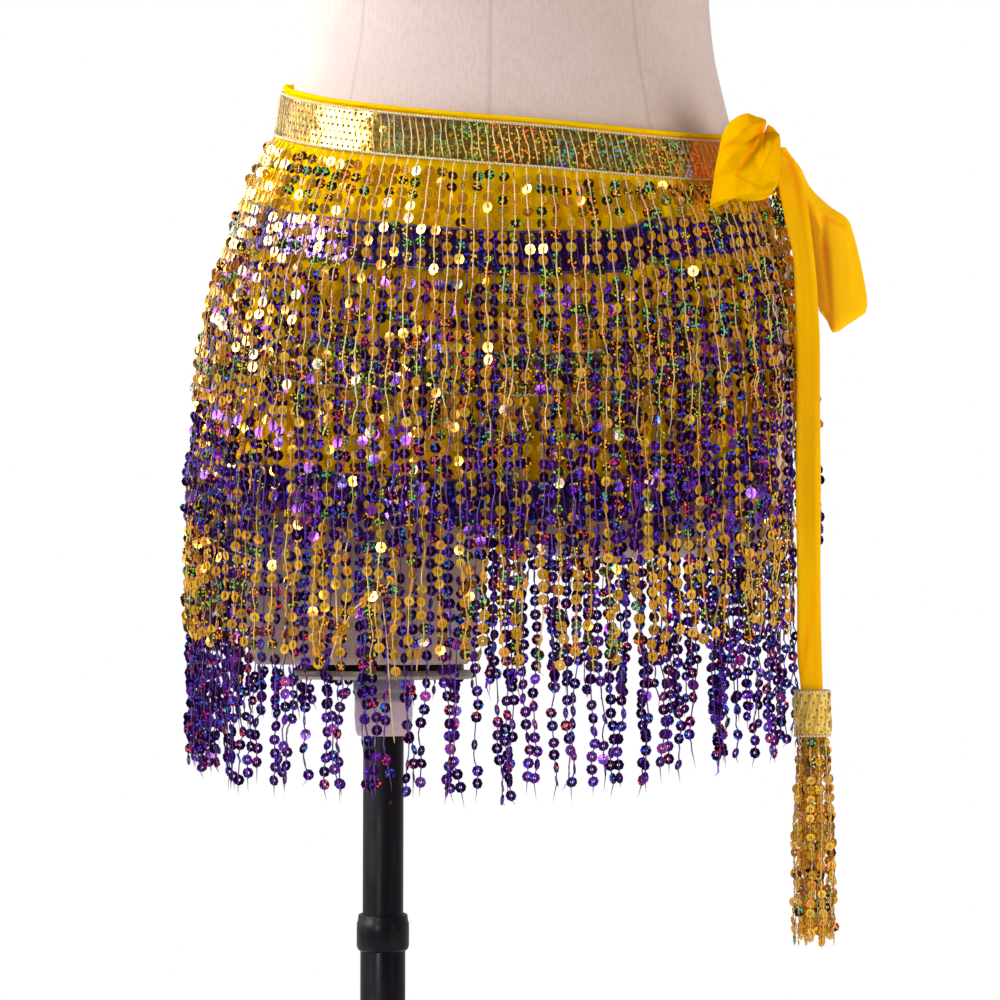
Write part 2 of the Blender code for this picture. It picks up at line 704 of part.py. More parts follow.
def build_tassel(name, place):
    """A cuff round the end of a tie, with strands hanging from every second cell of its underside."""
    bm = bmesh.new()
    across, deep = CUFF_CELLS
    bmesh.ops.create_grid(bm, x_segments=across, y_segments=deep, size=1.0)
    for vert in bm.verts:
        # A square is drawn out into an oval, so that the cuff has no corners.
        x, y = vert.co.x, vert.co.y
        vert.co.x = x * math.sqrt(1 - y * y / CUFF_SQUARENESS)
        vert.co.y = y * math.sqrt(1 - x * x / CUFF_SQUARENESS)
    bmesh.ops.scale(bm, vec=(*CUFF_HALF, 1.0), verts=bm.verts)
    bmesh.ops.recalc_face_normals(bm, faces=bm.faces)
    underside = list(bm.faces)
    raised = bmesh.ops.extrude_face_region(bm, geom=underside, use_keep_orig=True)["geom"]
    top = [item for item in raised if isinstance(item, bmesh.types.BMVert)]
    bmesh.ops.translate(bm, vec=(0.0, 0.0, CUFF_HEIGHT), verts=top)
    roots = []
    for face in underside:
        middle = face.calc_center_median()
        column_number = round((middle.x / CUFF_HALF[0] + 1) * across / 2 - 0.5)
        row_number = round((middle.y / CUFF_HALF[1] + 1) * deep / 2 - 0.5)
        if column_number % 2 == 0 and row_number % 2 == 0:
            roots.append(face)
    hung = bmesh.ops.extrude_discrete_faces(bm, faces=roots)["faces"]
    for number, face in enumerate(hung):
        length = TASSEL_LENGTH - 0.003 * (number % 3)
        for vert in face.verts:
            vert.co.x *= TASSEL_SPREAD
            vert.co.y *= TASSEL_SPREAD
            vert.co.z -= length
    bmesh.ops.recalc_face_normals(bm, faces=bm.faces)
    bmesh.ops.translate(bm, vec=place, verts=bm.verts)
    add_object(name, mesh_from(name, bm), "gold_sequins")


def build_ties():
    build_knot()
    build_front_loop()
    build_ribbon("bow_loop_side", SIDE_LOOP, LOOP_THICKNESS, 0.0, 3)
    for tie, tassel, table in (
        ("tie_front", "tassel_front", FRONT_TIE),
        ("tie_back", "tassel_back", BACK_TIE),
    ):
        build_ribbon(tie, table, TIE_THICKNESS, TIE_FOLD, 5)
        x, y, z = table[-1][:3]
        build_tassel(tassel, (FORM_X + x, y, z - SEAM - CUFF_HEIGHT))


clear_scene()
PARTS = collection_named("hip_scarf_on_dress_form")
HELPERS = collection_named("helpers")
MATERIALS = {name: make_material(name) for name in COLOURS}
build_dress_form()
build_stand()
build_panel()
for tape_row in range(len(TAPES)):
    build_fringe(tape_row)
build_ties()
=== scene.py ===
"""Looks of a belly dance hip scarf: yellow cloth with four rows of sequin fringe, tied in a bow at the
side, on a limbless dress form that a pole carries under one thigh. Metres, +Z up, the front is at -Y,
and the floor is at z 0 under the pole."""

import math

import bpy
import numpy as np
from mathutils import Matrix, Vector
from mathutils.geometry import delaunay_2d_cdt


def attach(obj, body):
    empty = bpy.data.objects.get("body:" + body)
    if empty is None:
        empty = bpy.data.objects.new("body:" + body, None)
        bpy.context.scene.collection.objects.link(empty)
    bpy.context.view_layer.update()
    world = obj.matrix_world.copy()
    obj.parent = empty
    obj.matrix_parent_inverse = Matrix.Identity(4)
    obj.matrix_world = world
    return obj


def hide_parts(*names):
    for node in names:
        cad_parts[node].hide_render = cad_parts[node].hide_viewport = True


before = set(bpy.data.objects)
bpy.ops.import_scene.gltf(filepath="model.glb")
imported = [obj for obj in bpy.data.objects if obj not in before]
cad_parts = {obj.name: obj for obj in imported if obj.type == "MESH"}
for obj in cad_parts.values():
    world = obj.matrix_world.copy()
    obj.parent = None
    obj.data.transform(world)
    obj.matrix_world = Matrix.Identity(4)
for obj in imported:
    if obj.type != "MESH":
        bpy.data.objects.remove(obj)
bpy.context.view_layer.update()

# --- the form ---------------------------------------------------------------------------------------

FORM_X = 0.074  # the figure's middle, beside the pole that carries it under one thigh
ROUNDNESS = 2.2  # power of the torso's superellipses: 2 is an ellipse, more is squarer
# height, half width, depth to the front, depth to the back
TORSO = np.array((
    (0.700, 0.1670, 0.1050, 0.1030),
    (0.730, 0.1700, 0.1100, 0.1180),
    (0.770, 0.1715, 0.1135, 0.1275),
    (0.794, 0.1700, 0.1135, 0.1280),
    (0.824, 0.1665, 0.1120, 0.1260),
    (0.854, 0.1590, 0.1090, 0.1210),
    (0.884, 0.1490, 0.1040, 0.1130),
    (0.914, 0.1385, 0.0980, 0.1030),
    (0.935, 0.1333, 0.0940, 0.0960),
    (0.953, 0.1291, 0.0900, 0.0900),
    (0.974, 0.1250, 0.0860, 0.0840),
    (1.010, 0.1222, 0.0840, 0.0800),
    (1.050, 0.1235, 0.0860, 0.0820),
    (1.110, 0.1310, 0.0950, 0.0900),
    (1.170, 0.1400, 0.1090, 0.0960),
    (1.215, 0.1450, 0.1150, 0.0990),
    (1.265, 0.1480, 0.1080, 0.1000),
    (1.315, 0.1580, 0.0900, 0.0950),
    (1.350, 0.1660, 0.0760, 0.0850),
    (1.372, 0.1600, 0.0660, 0.0750),
    (1.390, 0.1320, 0.0580, 0.0660),
    (1.405, 0.0930, 0.0520, 0.0580),
    (1.422, 0.0640, 0.0480, 0.0520),
    (1.455, 0.0570, 0.0460, 0.0480),
))
WIDEST = 0.770  # the cloth hangs straight down below this height
# height, middle of the stump from the figure's middle, half width, front, back
THIGH = np.array((
    (0.6057, 0.0870, 0.0630, 0.0640, 0.0640),
    (0.6100, 0.0870, 0.0670, 0.0680, 0.0680),
    (0.6450, 0.0868, 0.0700, 0.0740, 0.0760),
    (0.6790, 0.0860, 0.0730, 0.0810, 0.0850),
    (0.7100, 0.0845, 0.0755, 0.0860, 0.0920),
    (0.7500, 0.0820, 0.0770, 0.0900, 0.0980),
))
SHORT_THIGH_CUT = 0.672
SEAM_CLEAR = math.radians(1.6)  # no plain column of the torso stands closer to a seam
# degrees aside from a seam, and how deep in the seam the cloth is there
SEAM_PROFILE = ((-1.1, 0.0), (-0.45, 0.25), (0.0, 1.0), (0.45, 0.25), (1.1, 0.0))
SEAM_TINT = 0.28
TORSO_ROUNDING = 0.0040
STUMP_ROUNDING = 0.0035
SEAM_ANGLES = np.radians((56.3, 93.3, 130.3, 180.0, 232.0, 270.0, 308.0, 360.0))
SEAM_DEPTH = 0.0002

# --- the stand --------------------------------------------------------------------------------------

CLEAR = 0.0003  # space between pieces that touch
BASE_RADIUS = 0.165
BASE_THICKNESS = 0.006
HUB_RADIUS = 0.024
HUB_HEIGHT = 0.022
INNER_POLE_RADIUS = 0.0121
OUTER_POLE_RADIUS = 0.0134
BORE_RADIUS = 0.0124
OUTER_POLE_TOP = 0.4500
INNER_POLE_FOOT = 0.1500
COLLAR_BOTTOM = 0.4360
COLLAR_TOP = 0.4575
COLLAR_RADIUS = 0.0156
SOCKET_BOTTOM = 0.5630
SOCKET_RADIUS = 0.0184
PLATE_BOTTOM = 0.5968
PLATE_TOP = 0.6020
PLATE_RADIUS = 0.0535
SPACER_RADIUS = 0.0480
NECK_CAP_RADIUS = 0.055
NECK_CAP_HEIGHT = 0.012

# --- the scarf --------------------------------------------------------------------------------------

CLOTH = 0.0012  # thickness of the cloth
# height of the panel's top edge, and how it slopes sideways, dips in front and sags there
BELT_HEIGHT = 0.9415
BELT_SIDE_TILT = 0.0150
BELT_FRONT_DIP = 0.0280
BELT_FRONT_SAG = 0.0012
# drop below the top edge, room between the form and the cloth, how much less at the figure's right
ROOM = np.array((
    (0.000, 0.0055, 0.0034),
    (0.030, 0.0012, 0.0002),
    (0.060, 0.0040, 0.0024),
    (0.120, 0.0040, 0.0022),
    (0.187, 0.0045, 0.0010),
    (0.245, 0.0070, 0.0),
    (0.300, 0.0085, 0.0),
    (0.420, 0.0080, 0.0),
))
ROOM_SIDE_SHARE = 0.35
# share of its drop that a row really hangs down, and how that changes round the hips
RUN_MEAN = 0.9975
RUN_SIDE = 0.0350
RUN_FRONT = 0.0150
RUN_TWICE = 0.0125
# angle in degrees, how far the rows ride up there towards the knot
TUCK = np.array(
    ((20.0, 0.0205), (45.0, 0.0180), (58.0, 0.0150), (63.0, 0.0135), (69.0, 0.0060), (90.0, 0.0))
)
TUCK_DROPS = (0.030, 0.066)
OPEN_FRONT_EDGE = (24.0, 31.0)  # angle of the front edge at the top and the hem, in degrees
OPEN_BACK_EDGE = (382.0, 348.0)  # the same for the back edge, a full turn on
FOLDS = 11
FOLD_DEPTH = 0.0012
FOLD_DROPS = (0.090, 0.240)
LAYER = 0.0026  # each row of fringe lies this much further out than the row it falls over
TAPE_WIDTH = 0.0255
# name, drop of the tape's top edge, length of its strands, colour
TAPES = (
    ("fringe_gold_waist", 0.0040, 0.1630, "gold"),
    ("fringe_purple_high", 0.0705, 0.1625, "purple"),
    ("fringe_gold_low", 0.1405, 0.1560, "gold"),
    ("fringe_purple_hem", 0.2145, 0.1525, "purple"),
)
PANEL_LENGTH = TAPES[-1][1] + TAPE_WIDTH

STRAND_PITCH = 0.0076
SEQUIN_PITCH = 0.0073
FIRST_SEQUIN = 0.0085  # bare thread between the tape and the first sequin
SEQUIN_RADIUS = 0.0032
HOLE_RADIUS = 0.00080
SEQUIN_CUP = 0.00007
SEQUIN_WALL = 0.00012
THREAD_RADIUS = 0.00044
BRAID_RADIUS = 0.00072
TAPE_SEQUIN_RADIUS = 0.0028
TAPE_SEQUIN_PITCH = 0.0044
TAPE_SEQUIN_ROWS = 6
TAPE_THREAD_PITCH = 0.0051
ROLL_RADIUS = 0.0016
HEM_RADIUS = 0.0009
EDGE_MARGIN = 0.002  # from the panel's edge to the first strand
HEM_ROW = len(TAPES) - 1
FIRST_DENSE_ROW = 2  # from this row down, some strands are sewn on closer together
PANEL_GRID = (60, 220)  # rows and columns
# how high the layers of a tape lie over the cloth
BACKING_LIFT = 0.0001
TAPE_SEQUIN_LIFT = 0.0009
BRAID_LIFT = 0.0013
TAPE_THREAD_LIFT = 0.0018
BRAID_INSET = 0.0005  # from the tape's edge to the middle of its braid
# how a thread passes a hung sequin: half its stitch, and where it lies before and behind the disc
STITCH = 0.0017
THREAD_BEFORE = 0.0006
THREAD_BEHIND = -0.0003
SEED = 7


# --- small tools ------------------------------------------------------------------------------------


def smooth_share(value, start, end):
    share = np.clip((value - start) / (end - start), 0.0, 1.0)
    return share * share * (3 - 2 * share)


def unit(vectors):
    return vectors / np.linalg.norm(vectors, axis=-1, keepdims=True)


def running_length(path):
    """Length along a path up to each of its points."""
    return np.concatenate([[0.0], np.cumsum(np.linalg.norm(np.diff(path, axis=0), axis=1))])


def resample(values, count):
    """A smooth curve through the rows of values, read at even steps."""
    values = np.asarray(values, float)
    last = len(values) - 1
    at = np.linspace(0, last, count)
    i = np.minimum(at.astype(int), last - 1)
    t = (at - i).reshape((-1,) + (1,) * (values.ndim - 1))
    before, start, end, after = (values[np.clip(i + k, 0, last)] for k in (-1, 0, 1, 2))
    slope_in, slope_out = (end - before) / 2, (after - start) / 2
    rise = end - start
    return (
        start
        + t * slope_in
        + t**2 * (3 * rise - 2 * slope_in - slope_out)
        + t**3 * (slope_in + slope_out - 2 * rise)
    )


def deselect_all():
    bpy.ops.object.select_all(action="DESELECT")


def make_active(piece):
    deselect_all()
    piece.select_set(True)
    bpy.context.view_layer.objects.active = piece


def edit_all(piece):
    """Edit mode on a piece, with all of its mesh selected."""
    make_active(piece)
    bpy.ops.object.mode_set(mode="EDIT")
    bpy.ops.mesh.select_all(action="SELECT")


def leave_edit():
    bpy.ops.object.mode_set(mode="OBJECT")


def add_object(name, data):
    made = bpy.data.objects.new(name, data)
    bpy.context.scene.collection.objects.link(made)
    return made


def mesh_piece(name, points, faces, material, uv=None, smooth=True, **values):
    """An object from arrays of points and faces, with optional UV and numbers on its points."""
    points = np.asarray(points, float).reshape(-1, 3)
    faces = np.asarray(faces, np.int32)
    mesh = bpy.data.meshes.new(name)
    mesh.vertices.add(len(points))
    mesh.vertices.foreach_set("co", points.ravel())
    mesh.loops.add(faces.size)
    mesh.loops.foreach_set("vertex_index", faces.ravel())
    mesh.polygons.add(len(faces))
    starts = np.arange(len(faces), dtype=np.int32) * faces.shape[1]
    mesh.polygons.foreach_set("loop_start", starts)
    mesh.update(calc_edges=True)
    if uv is not None:
        layer = mesh.uv_layers.new(name="along")
        layer.data.foreach_set("uv", np.asarray(uv, float).reshape(-1, 2)[faces.ravel()].ravel())
    for key, numbers in values.items():
        attribute = mesh.attributes.new(key, "FLOAT", "POINT")
        numbers = np.broadcast_to(np.asarray(numbers, float).ravel(), len(points))
        attribute.data.foreach_set("value", np.ascontiguousarray(numbers))
    if smooth:
        mesh.shade_smooth()
    else:
        mesh.shade_flat()
    mesh.materials.append(material)
    return add_object(name, mesh)


def fill_ends(piece):
    """Closes the small open ends of tubes."""
    edit_all(piece)
    bpy.ops.mesh.fill_holes(sides=12)
    leave_edit()
    return piece


def grid_faces(rows, columns, closed=False):
    """Quads of a grid whose rows run down and whose columns run round, facing outwards."""
    row, column = np.meshgrid(np.arange(rows - 1), np.arange(columns - (not closed)), indexing="ij")
    following = (column + 1) % columns
    quads = [row * columns + column, (row + 1) * columns + column]
    quads += [(row + 1) * columns + following, row * columns + following]
    return np.stack([quad.ravel() for quad in quads], axis=1)


def apply_modifiers(piece):
    make_active(piece)
    for modifier in list(piece.modifiers):
        bpy.ops.object.modifier_apply(modifier=modifier.name)


def soften_edges(piece, width, segments, degrees):
    """Bevels the edges that turn by more than an angle."""
    edge = piece.modifiers.new("soft_edges", "BEVEL")
    edge.width, edge.segments, edge.angle_limit = width, segments, math.radians(degrees)
    apply_modifiers(piece)


def thicken(piece, thickness):
    wall = piece.modifiers.new("wall", "SOLIDIFY")
    wall.thickness = thickness
    wall.offset = -1.0
    apply_modifiers(piece)
    return piece


def place(piece, node, body="figure"):
    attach(piece, body)
    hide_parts(node)
    return piece


# --- materials --------------------------------------------------------------------------------------


class Finish:
    """A material with one Principled shader, and short calls that add nodes in front of it."""

    def __init__(self, name, **sockets):
        self.material = bpy.data.materials.new(name)
        self.material.use_nodes = True
        self.tree = self.material.node_tree
        self.shader = self.tree.nodes["Principled BSDF"]
        for socket, value in sockets.items():
            self.shader.inputs[socket.replace("_", " ")].default_value = value

    def node(self, kind, inputs=None, **settings):
        made = self.tree.nodes.new(kind)
        for key, value in settings.items():
            setattr(made, key, value)
        for key, value in (inputs or {}).items():
            if isinstance(value, bpy.types.NodeSocket):
                self.tree.links.new(value, made.inputs[key])
            else:
                made.inputs[key].default_value = value
        return made

    def drive(self, socket, value):
        self.tree.links.new(value, self.shader.inputs[socket])

    def done(self, colour, normal):
        self.drive("Base Color", colour)
        self.drive("Normal", normal)
        return self.material

    def coordinates(self):
        return self.node("ShaderNodeTexCoord").outputs["Object"]

    def axes(self, vector=None):
        """X, Y and Z of a vector, or of the place in the object's own space."""
        vector = self.coordinates() if vector is None else vector
        return self.node("ShaderNodeSeparateXYZ", {0: vector}).outputs[:3]

    def stretched(self, scale, rotation=(0.0, 0.0, 0.0)):
        inputs = {0: self.coordinates(), "Scale": scale, "Rotation": rotation}
        return self.node("ShaderNodeMapping", inputs).outputs[0]

    def attribute(self, name):
        return self.node("ShaderNodeAttribute", attribute_name=name).outputs["Fac"]

    def noise(self, scale, detail, roughness=0.5, vector=None):
        vector = self.coordinates() if vector is None else vector
        inputs = {"Vector": vector, "Scale": scale, "Detail": detail, "Roughness": roughness}
        return self.node("ShaderNodeTexNoise", inputs).outputs["Fac"]

    def maths(self, operation, first, second=0.5):
        return self.node("ShaderNodeMath", {0: first, 1: second}, operation=operation).outputs[0]

    def times(self, first, second):
        return self.maths("MULTIPLY", first, second)

    def plus(self, first, second):
        return self.maths("ADD", first, second)

    def ranged(self, value, low, high, to_low=0.0, to_high=1.0):
        inputs = {0: value, 1: low, 2: high, 3: to_low, 4: to_high}
        return self.node("ShaderNodeMapRange", inputs, interpolation_type="SMOOTHSTEP").outputs[0]

    def mix(self, share, first, second):
        first, second = (
            colour if isinstance(colour, bpy.types.NodeSocket) else (*colour, 1.0)
            for colour in (first, second)
        )
        inputs = {0: share, 6: first, 7: second}
        return self.node("ShaderNodeMix", inputs, data_type="RGBA").outputs[2]

    def ramp(self, value, *stops):
        made = self.node("ShaderNodeValToRGB", {0: value})
        elements = made.color_ramp.elements
        while len(elements) < len(stops):
            elements.new(1.0)
        for element, (position, colour) in zip(elements, stops):
            element.position = position
            element.color = (*colour, 1.0)
        return made.outputs[0]

    def bump(self, height, strength, distance, normal=None):
        inputs = {"Height": height, "Strength": strength, "Distance": distance}
        if normal is not None:
            inputs["Normal"] = normal
        return self.node("ShaderNodeBump", inputs).outputs[0]


WAVE_SCALE = 0.314  # scale of a wave texture that has one wave in a metre
NO_LIGHT = (0.0, 0.0, 0.0)


def weave(finish, threads_per_metre):
    """Height of a plain weave in the object's own space."""
    scale = threads_per_metre * WAVE_SCALE
    inputs = {"Vector": finish.coordinates(), "Scale": scale, "Distortion": 0.6, "Detail": 1.0}
    waves = (
        finish.node("ShaderNodeTexWave", inputs, bands_direction=axis).outputs["Fac"]
        for axis in ("X", "Z")
    )
    return finish.times(*waves)


def yellow_cloth_finish(name, light, dark, shade=0.0, painted_glow=0.0):
    """Thin cloth. Painted shade darkens the troughs of its gentle creases, turns it more orange
    where its folds are marked and, by the shade given, darkens it low down where the fringe hangs
    close. Its emission is painted light, standing for light that comes through it from behind."""
    finish = Finish(
        name,
        Roughness=0.62,
        Specular_IOR_Level=0.0,
        Emission_Color=(1.0, 0.62, 0.04, 1.0),
        Emission_Strength=painted_glow,
    )
    # painted shade: one noise both bumps the cloth into gentle creases and darkens their troughs
    soft = finish.noise(34.0, 3.0, vector=finish.stretched((1.0, 1.0, 0.35)))
    fine = finish.ranged(finish.noise(900.0, 2.0), 0.35, 0.75, 0.0, 0.22)
    # painted shade: below z 0.87 the cloth turns darker and more orange, by the share given as shade,
    # where the fringe hangs close and shadows it
    low = finish.ranged(finish.axes()[2], 0.870, 0.825, 0.0, shade)
    colour = finish.ramp(soft, (0.30, dark), (0.70, light))
    colour = finish.mix(fine, colour, (0.84, 0.36, 0.0))
    # painted shade: more orange along the folds that the attribute marks
    colour = finish.mix(finish.attribute("fold"), colour, (0.90, 0.27, 0.0))
    colour = finish.mix(low, colour, (0.50, 0.20, 0.0))
    creased = finish.bump(soft, 0.35, 0.004)
    return finish.done(colour, finish.bump(weave(finish, 2600.0), 0.20, 0.0002, creased))


def form_cloth_finish(name, light, dark):
    finish = Finish(
        name, Roughness=0.88, Sheen_Weight=0.25, Sheen_Roughness=0.5, Specular_IOR_Level=0.2
    )
    fine = finish.noise(700.0, 2.0, vector=finish.stretched((1.0, 1.0, 0.25)))
    colour = finish.ramp(finish.noise(22.0, 4.0), (0.25, dark), (0.75, light))
    colour = finish.mix(finish.ranged(fine, 0.35, 0.70, 0.0, 0.35), colour, (0.62, 0.47, 0.43))
    colour = finish.mix(finish.attribute("seam"), colour, (0.33, 0.24, 0.22))
    return finish.done(colour, finish.bump(weave(finish, 1500.0), 0.35, 0.0003))


GLITTER_HUES = (
    (0.00, (0.95, 0.03, 0.01)),
    (0.14, (0.95, 0.20, 0.01)),
    (0.24, (0.90, 0.52, 0.02)),
    (0.34, (0.16, 0.50, 0.03)),
    (0.44, (0.02, 0.48, 0.14)),
    (0.56, (0.02, 0.42, 0.52)),
    (0.68, (0.02, 0.05, 0.95)),
    (0.78, (0.24, 0.02, 0.80)),
    (0.92, (0.85, 0.02, 0.22)),
    (1.00, (0.95, 0.03, 0.01)),
)


def glitter(finish, cell, share, hue, jitter):
    """Small facets of painted glint in one hue that drifts, as (mask, colour, distance to a facet's
    middle).
    """
    inputs = {"Vector": finish.coordinates(), "Scale": 1.0 / cell}
    cells = finish.node("ShaderNodeTexVoronoi", inputs)
    distance = cells.outputs["Distance"]
    random = finish.node("ShaderNodeSeparateColor", {0: cells.outputs["Color"]})
    lit = finish.maths("GREATER_THAN", random.outputs[0], 1.0 - share)
    mask = finish.times(lit, finish.ranged(distance, 0.56, 0.36))
    hue = finish.plus(hue, finish.times(random.outputs[1], jitter))
    return mask, finish.ramp(finish.maths("FRACT", hue), *GLITTER_HUES), distance


def shown_by(finish, mask, colour, painted_glints, strength, normal_from, depth):
    """The material, from a base colour and facets that give off light as painted glints, with a fine
    unevenness.
    """
    finish.drive("Emission Color", finish.mix(mask, NO_LIGHT, painted_glints))
    finish.shader.inputs["Emission Strength"].default_value = strength
    colour = finish.mix(mask, colour, finish.mix(0.75, painted_glints, NO_LIGHT))
    return finish.done(colour, finish.bump(normal_from, depth, 0.0001))


def painted_edge_shade(finish, colour, strength, tone):
    """A sequin's colour, darkened at its rim and round its hole: painted shade for the cup of the disc.
    """
    rim = finish.attribute("rim")
    edge = finish.maths("MAXIMUM", finish.ranged(rim, 0.26, 0.06), finish.ranged(rim, 0.80, 0.97))
    return finish.mix(finish.times(edge, strength), colour, tone)


GOLD_SEQUIN_TONES = (
    (0.00, (0.78, 0.30, 0.003)),
    (0.20, (0.92, 0.42, 0.006)),
    (0.38, (0.62, 0.22, 0.003)),
    (0.42, (0.042, 0.013, 0.001)),
    (0.72, (0.026, 0.008, 0.001)),
    (0.77, (0.46, 0.17, 0.003)),
    (0.92, (0.95, 0.55, 0.020)),
)
BRIGHTEST_GOLD = (1.0, 0.56, 0.05)


def gold_sequin_finish(name="gold_sequins", lift=1.0):
    """Amber, dark and pale sequins, the dark ones full of facets that give off light as painted glints.
    The lift brightens them all.
    """
    finish = Finish(name, Metallic=0.40, Roughness=0.16, Coat_Weight=0.10, Coat_Roughness=0.10)
    tint = finish.attribute("tint")
    tones = [
        (position, [min(most, part * lift) for part, most in zip(tone, BRIGHTEST_GOLD)])
        for position, tone in GOLD_SEQUIN_TONES
    ]
    colour = painted_edge_shade(finish, finish.ramp(tint, *tones), 0.75, (0.13, 0.050, 0.004))
    hue = finish.maths("PINGPONG", finish.plus(finish.times(tint, 9.0), finish.noise(14.0, 0.0)), 0.44)
    mask, painted_glints, distance = glitter(finish, 0.00135, 0.44, hue, 0.16)
    dark = finish.times(finish.ranged(tint, 0.38, 0.44), finish.ranged(tint, 0.80, 0.74))
    mask = finish.times(mask, finish.plus(finish.times(dark, 0.88), 0.12))
    return shown_by(finish, mask, colour, painted_glints, 1.25, distance, 0.10)


PURPLE_SEQUIN_TONES = (
    (0.00, (0.050, 0.001, 0.110)),
    (0.45, (0.011, 0.000, 0.024)),
    (0.75, (0.070, 0.002, 0.170)),
    (0.93, (0.130, 0.005, 0.320)),
    (0.97, (0.380, 0.050, 0.500)),
)


def purple_sequin_finish():
    finish = Finish(
        "purple_sequins",
        Metallic=0.7,
        Roughness=0.14,
        Coat_Weight=0.05,
        Coat_Roughness=0.10,
        Specular_IOR_Level=0.25,
    )
    tint = finish.attribute("tint")
    tones = finish.ramp(tint, *PURPLE_SEQUIN_TONES)
    colour = painted_edge_shade(finish, tones, 0.6, (0.006, 0.001, 0.020))
    blue = finish.ranged(finish.noise(160.0, 1.0), 0.40, 0.60, 0.60, 0.72)
    red = finish.maths("GREATER_THAN", finish.maths("FRACT", finish.times(tint, 37.0)), 0.8)
    hue = finish.plus(blue, finish.times(red, 0.32))
    # painted glints: these facets give off light
    mask, painted_glints, distance = glitter(finish, 0.0015, 0.34, hue, 0.06)
    mask = finish.times(mask, finish.ranged(tint, 0.15, 0.45))
    return shown_by(finish, mask, colour, painted_glints, 1.0, distance, 0.12)


def pierce(finish, colour, metallic, hole):
    """Makes the middle of each flat sequin a dull dark hole; the result is the new base colour."""
    inside = finish.ranged(finish.attribute("rim"), 0.40, 0.30)
    around = finish.maths("SUBTRACT", 1.0, inside)
    finish.drive("Metallic", finish.times(around, metallic))
    finish.drive("Coat Weight", finish.times(around, 0.2))
    finish.drive("Roughness", finish.ranged(inside, 0.0, 1.0, 0.15, 1.0))
    return finish.mix(inside, colour, hole)


GOLD_TONES = (
    (0.0, (0.30, 0.16, 0.012)),
    (0.4, (0.40, 0.22, 0.020)),
    (0.8, (0.66, 0.40, 0.045)),
    (1.0, (0.24, 0.12, 0.010)),
)
CUFF_TONES = (
    (0.0, (1.00, 0.60, 0.080)),
    (0.4, (1.00, 0.68, 0.110)),
    (0.8, (1.00, 0.80, 0.220)),
    (1.0, (0.88, 0.50, 0.050)),
)


PURPLE_TONES = (
    (0.0, (0.028, 0.001, 0.076)),
    (0.6, (0.062, 0.002, 0.190)),
    (1.0, (0.012, 0.001, 0.034)),
)


def gold_tape_finish(name, tones, painted_glow, metallic, hole):
    """Flat gold sequins: the facets of their painted glints change from red through green to blue
    along the tape.
    """
    finish = Finish(name, Coat_Roughness=0.12)
    tint = finish.attribute("tint")
    colour = pierce(finish, finish.ramp(tint, *tones), metallic, hole)
    hue = finish.plus(finish.times(finish.noise(11.0, 1.0), 4.4), finish.times(tint, 0.12))
    hue = finish.maths("PINGPONG", hue, 0.50)
    x, y, z = finish.axes()
    # painted reflection: at the front right, above z 0.80, by the bow, the tape turns orange as if it
    # mirrored the yellow cloth, and its glints are dimmed there
    front_right = finish.times(finish.ranged(x, 0.177, 0.181), finish.ranged(y, -0.03, -0.05))
    painted_bow_reflection = finish.times(front_right, finish.ranged(z, 0.75, 0.80))
    colour = finish.mix(finish.times(painted_bow_reflection, 0.85), colour, (1.0, 0.24, 0.002))
    mask, painted_glints, distance = glitter(finish, 0.00150, 0.42, hue, 0.24)
    lively = finish.ranged(finish.noise(26.0, 1.0), 0.36, 0.58, 0.10, 1.0)
    lively = finish.times(lively, finish.ranged(painted_bow_reflection, 0.0, 1.0, 1.0, 0.3))
    return shown_by(finish, finish.times(mask, lively), colour, painted_glints, painted_glow, distance, 0.10)


def purple_tape_finish():
    finish = Finish("purple_tape", Coat_Roughness=0.14)
    colour = finish.ramp(finish.attribute("tint"), *PURPLE_TONES)
    colour = pierce(finish, colour, 0.6, (0.006, 0.001, 0.018))
    drift = finish.ranged(finish.noise(60.0, 1.0), 0.35, 0.65, 0.62, 0.74)
    # painted glints: these facets give off light
    mask, painted_glints, distance = glitter(finish, 0.0017, 0.34, drift, 0.04)
    lively = finish.ranged(finish.noise(30.0, 1.0), 0.42, 0.62, 0.10, 1.0)
    return shown_by(finish, finish.times(mask, lively), colour, painted_glints, 0.8, distance, 0.12)


def thread_finish(name, light, dark):
    """Spun thread: short slanting plies, with painted highlight and shade, lighter on their crowns and
    darker between them.
    """
    finish = Finish(name, Roughness=0.62, Sheen_Weight=0.04)
    plies = finish.noise(1400.0, 1.0, vector=finish.stretched((1.0, 1.0, 1.6), (0.0, 0.7, 0.0)))
    share = finish.plus(finish.times(plies, 0.6), finish.times(finish.noise(45.0, 1.0), 0.4))
    colour = finish.ramp(share, (0.36, dark), (0.62, light))
    return finish.done(colour, finish.bump(plies, 0.5, 0.0003))


def braid_finish(name, light, dark):
    """Twisted cord: slanting stripes of painted shade, darker in the grooves between its plies, along
    its own length, which runs in millimetres in the UV map.
    """
    finish = Finish(name, Roughness=0.6, Sheen_Weight=0.3)
    along, turns, _ = finish.axes(finish.node("ShaderNodeUVMap", uv_map="along").outputs[0])
    ply = finish.maths("PINGPONG", finish.plus(finish.times(along, 0.55), turns), 0.5)
    loose = finish.ranged(finish.noise(500.0, 2.0), 0.2, 0.6, 0.6, 1.0)
    share = finish.times(finish.ranged(ply, 0.02, 0.30), loose)
    return finish.done(finish.mix(share, dark, light), finish.bump(share, 0.8, 0.0006))


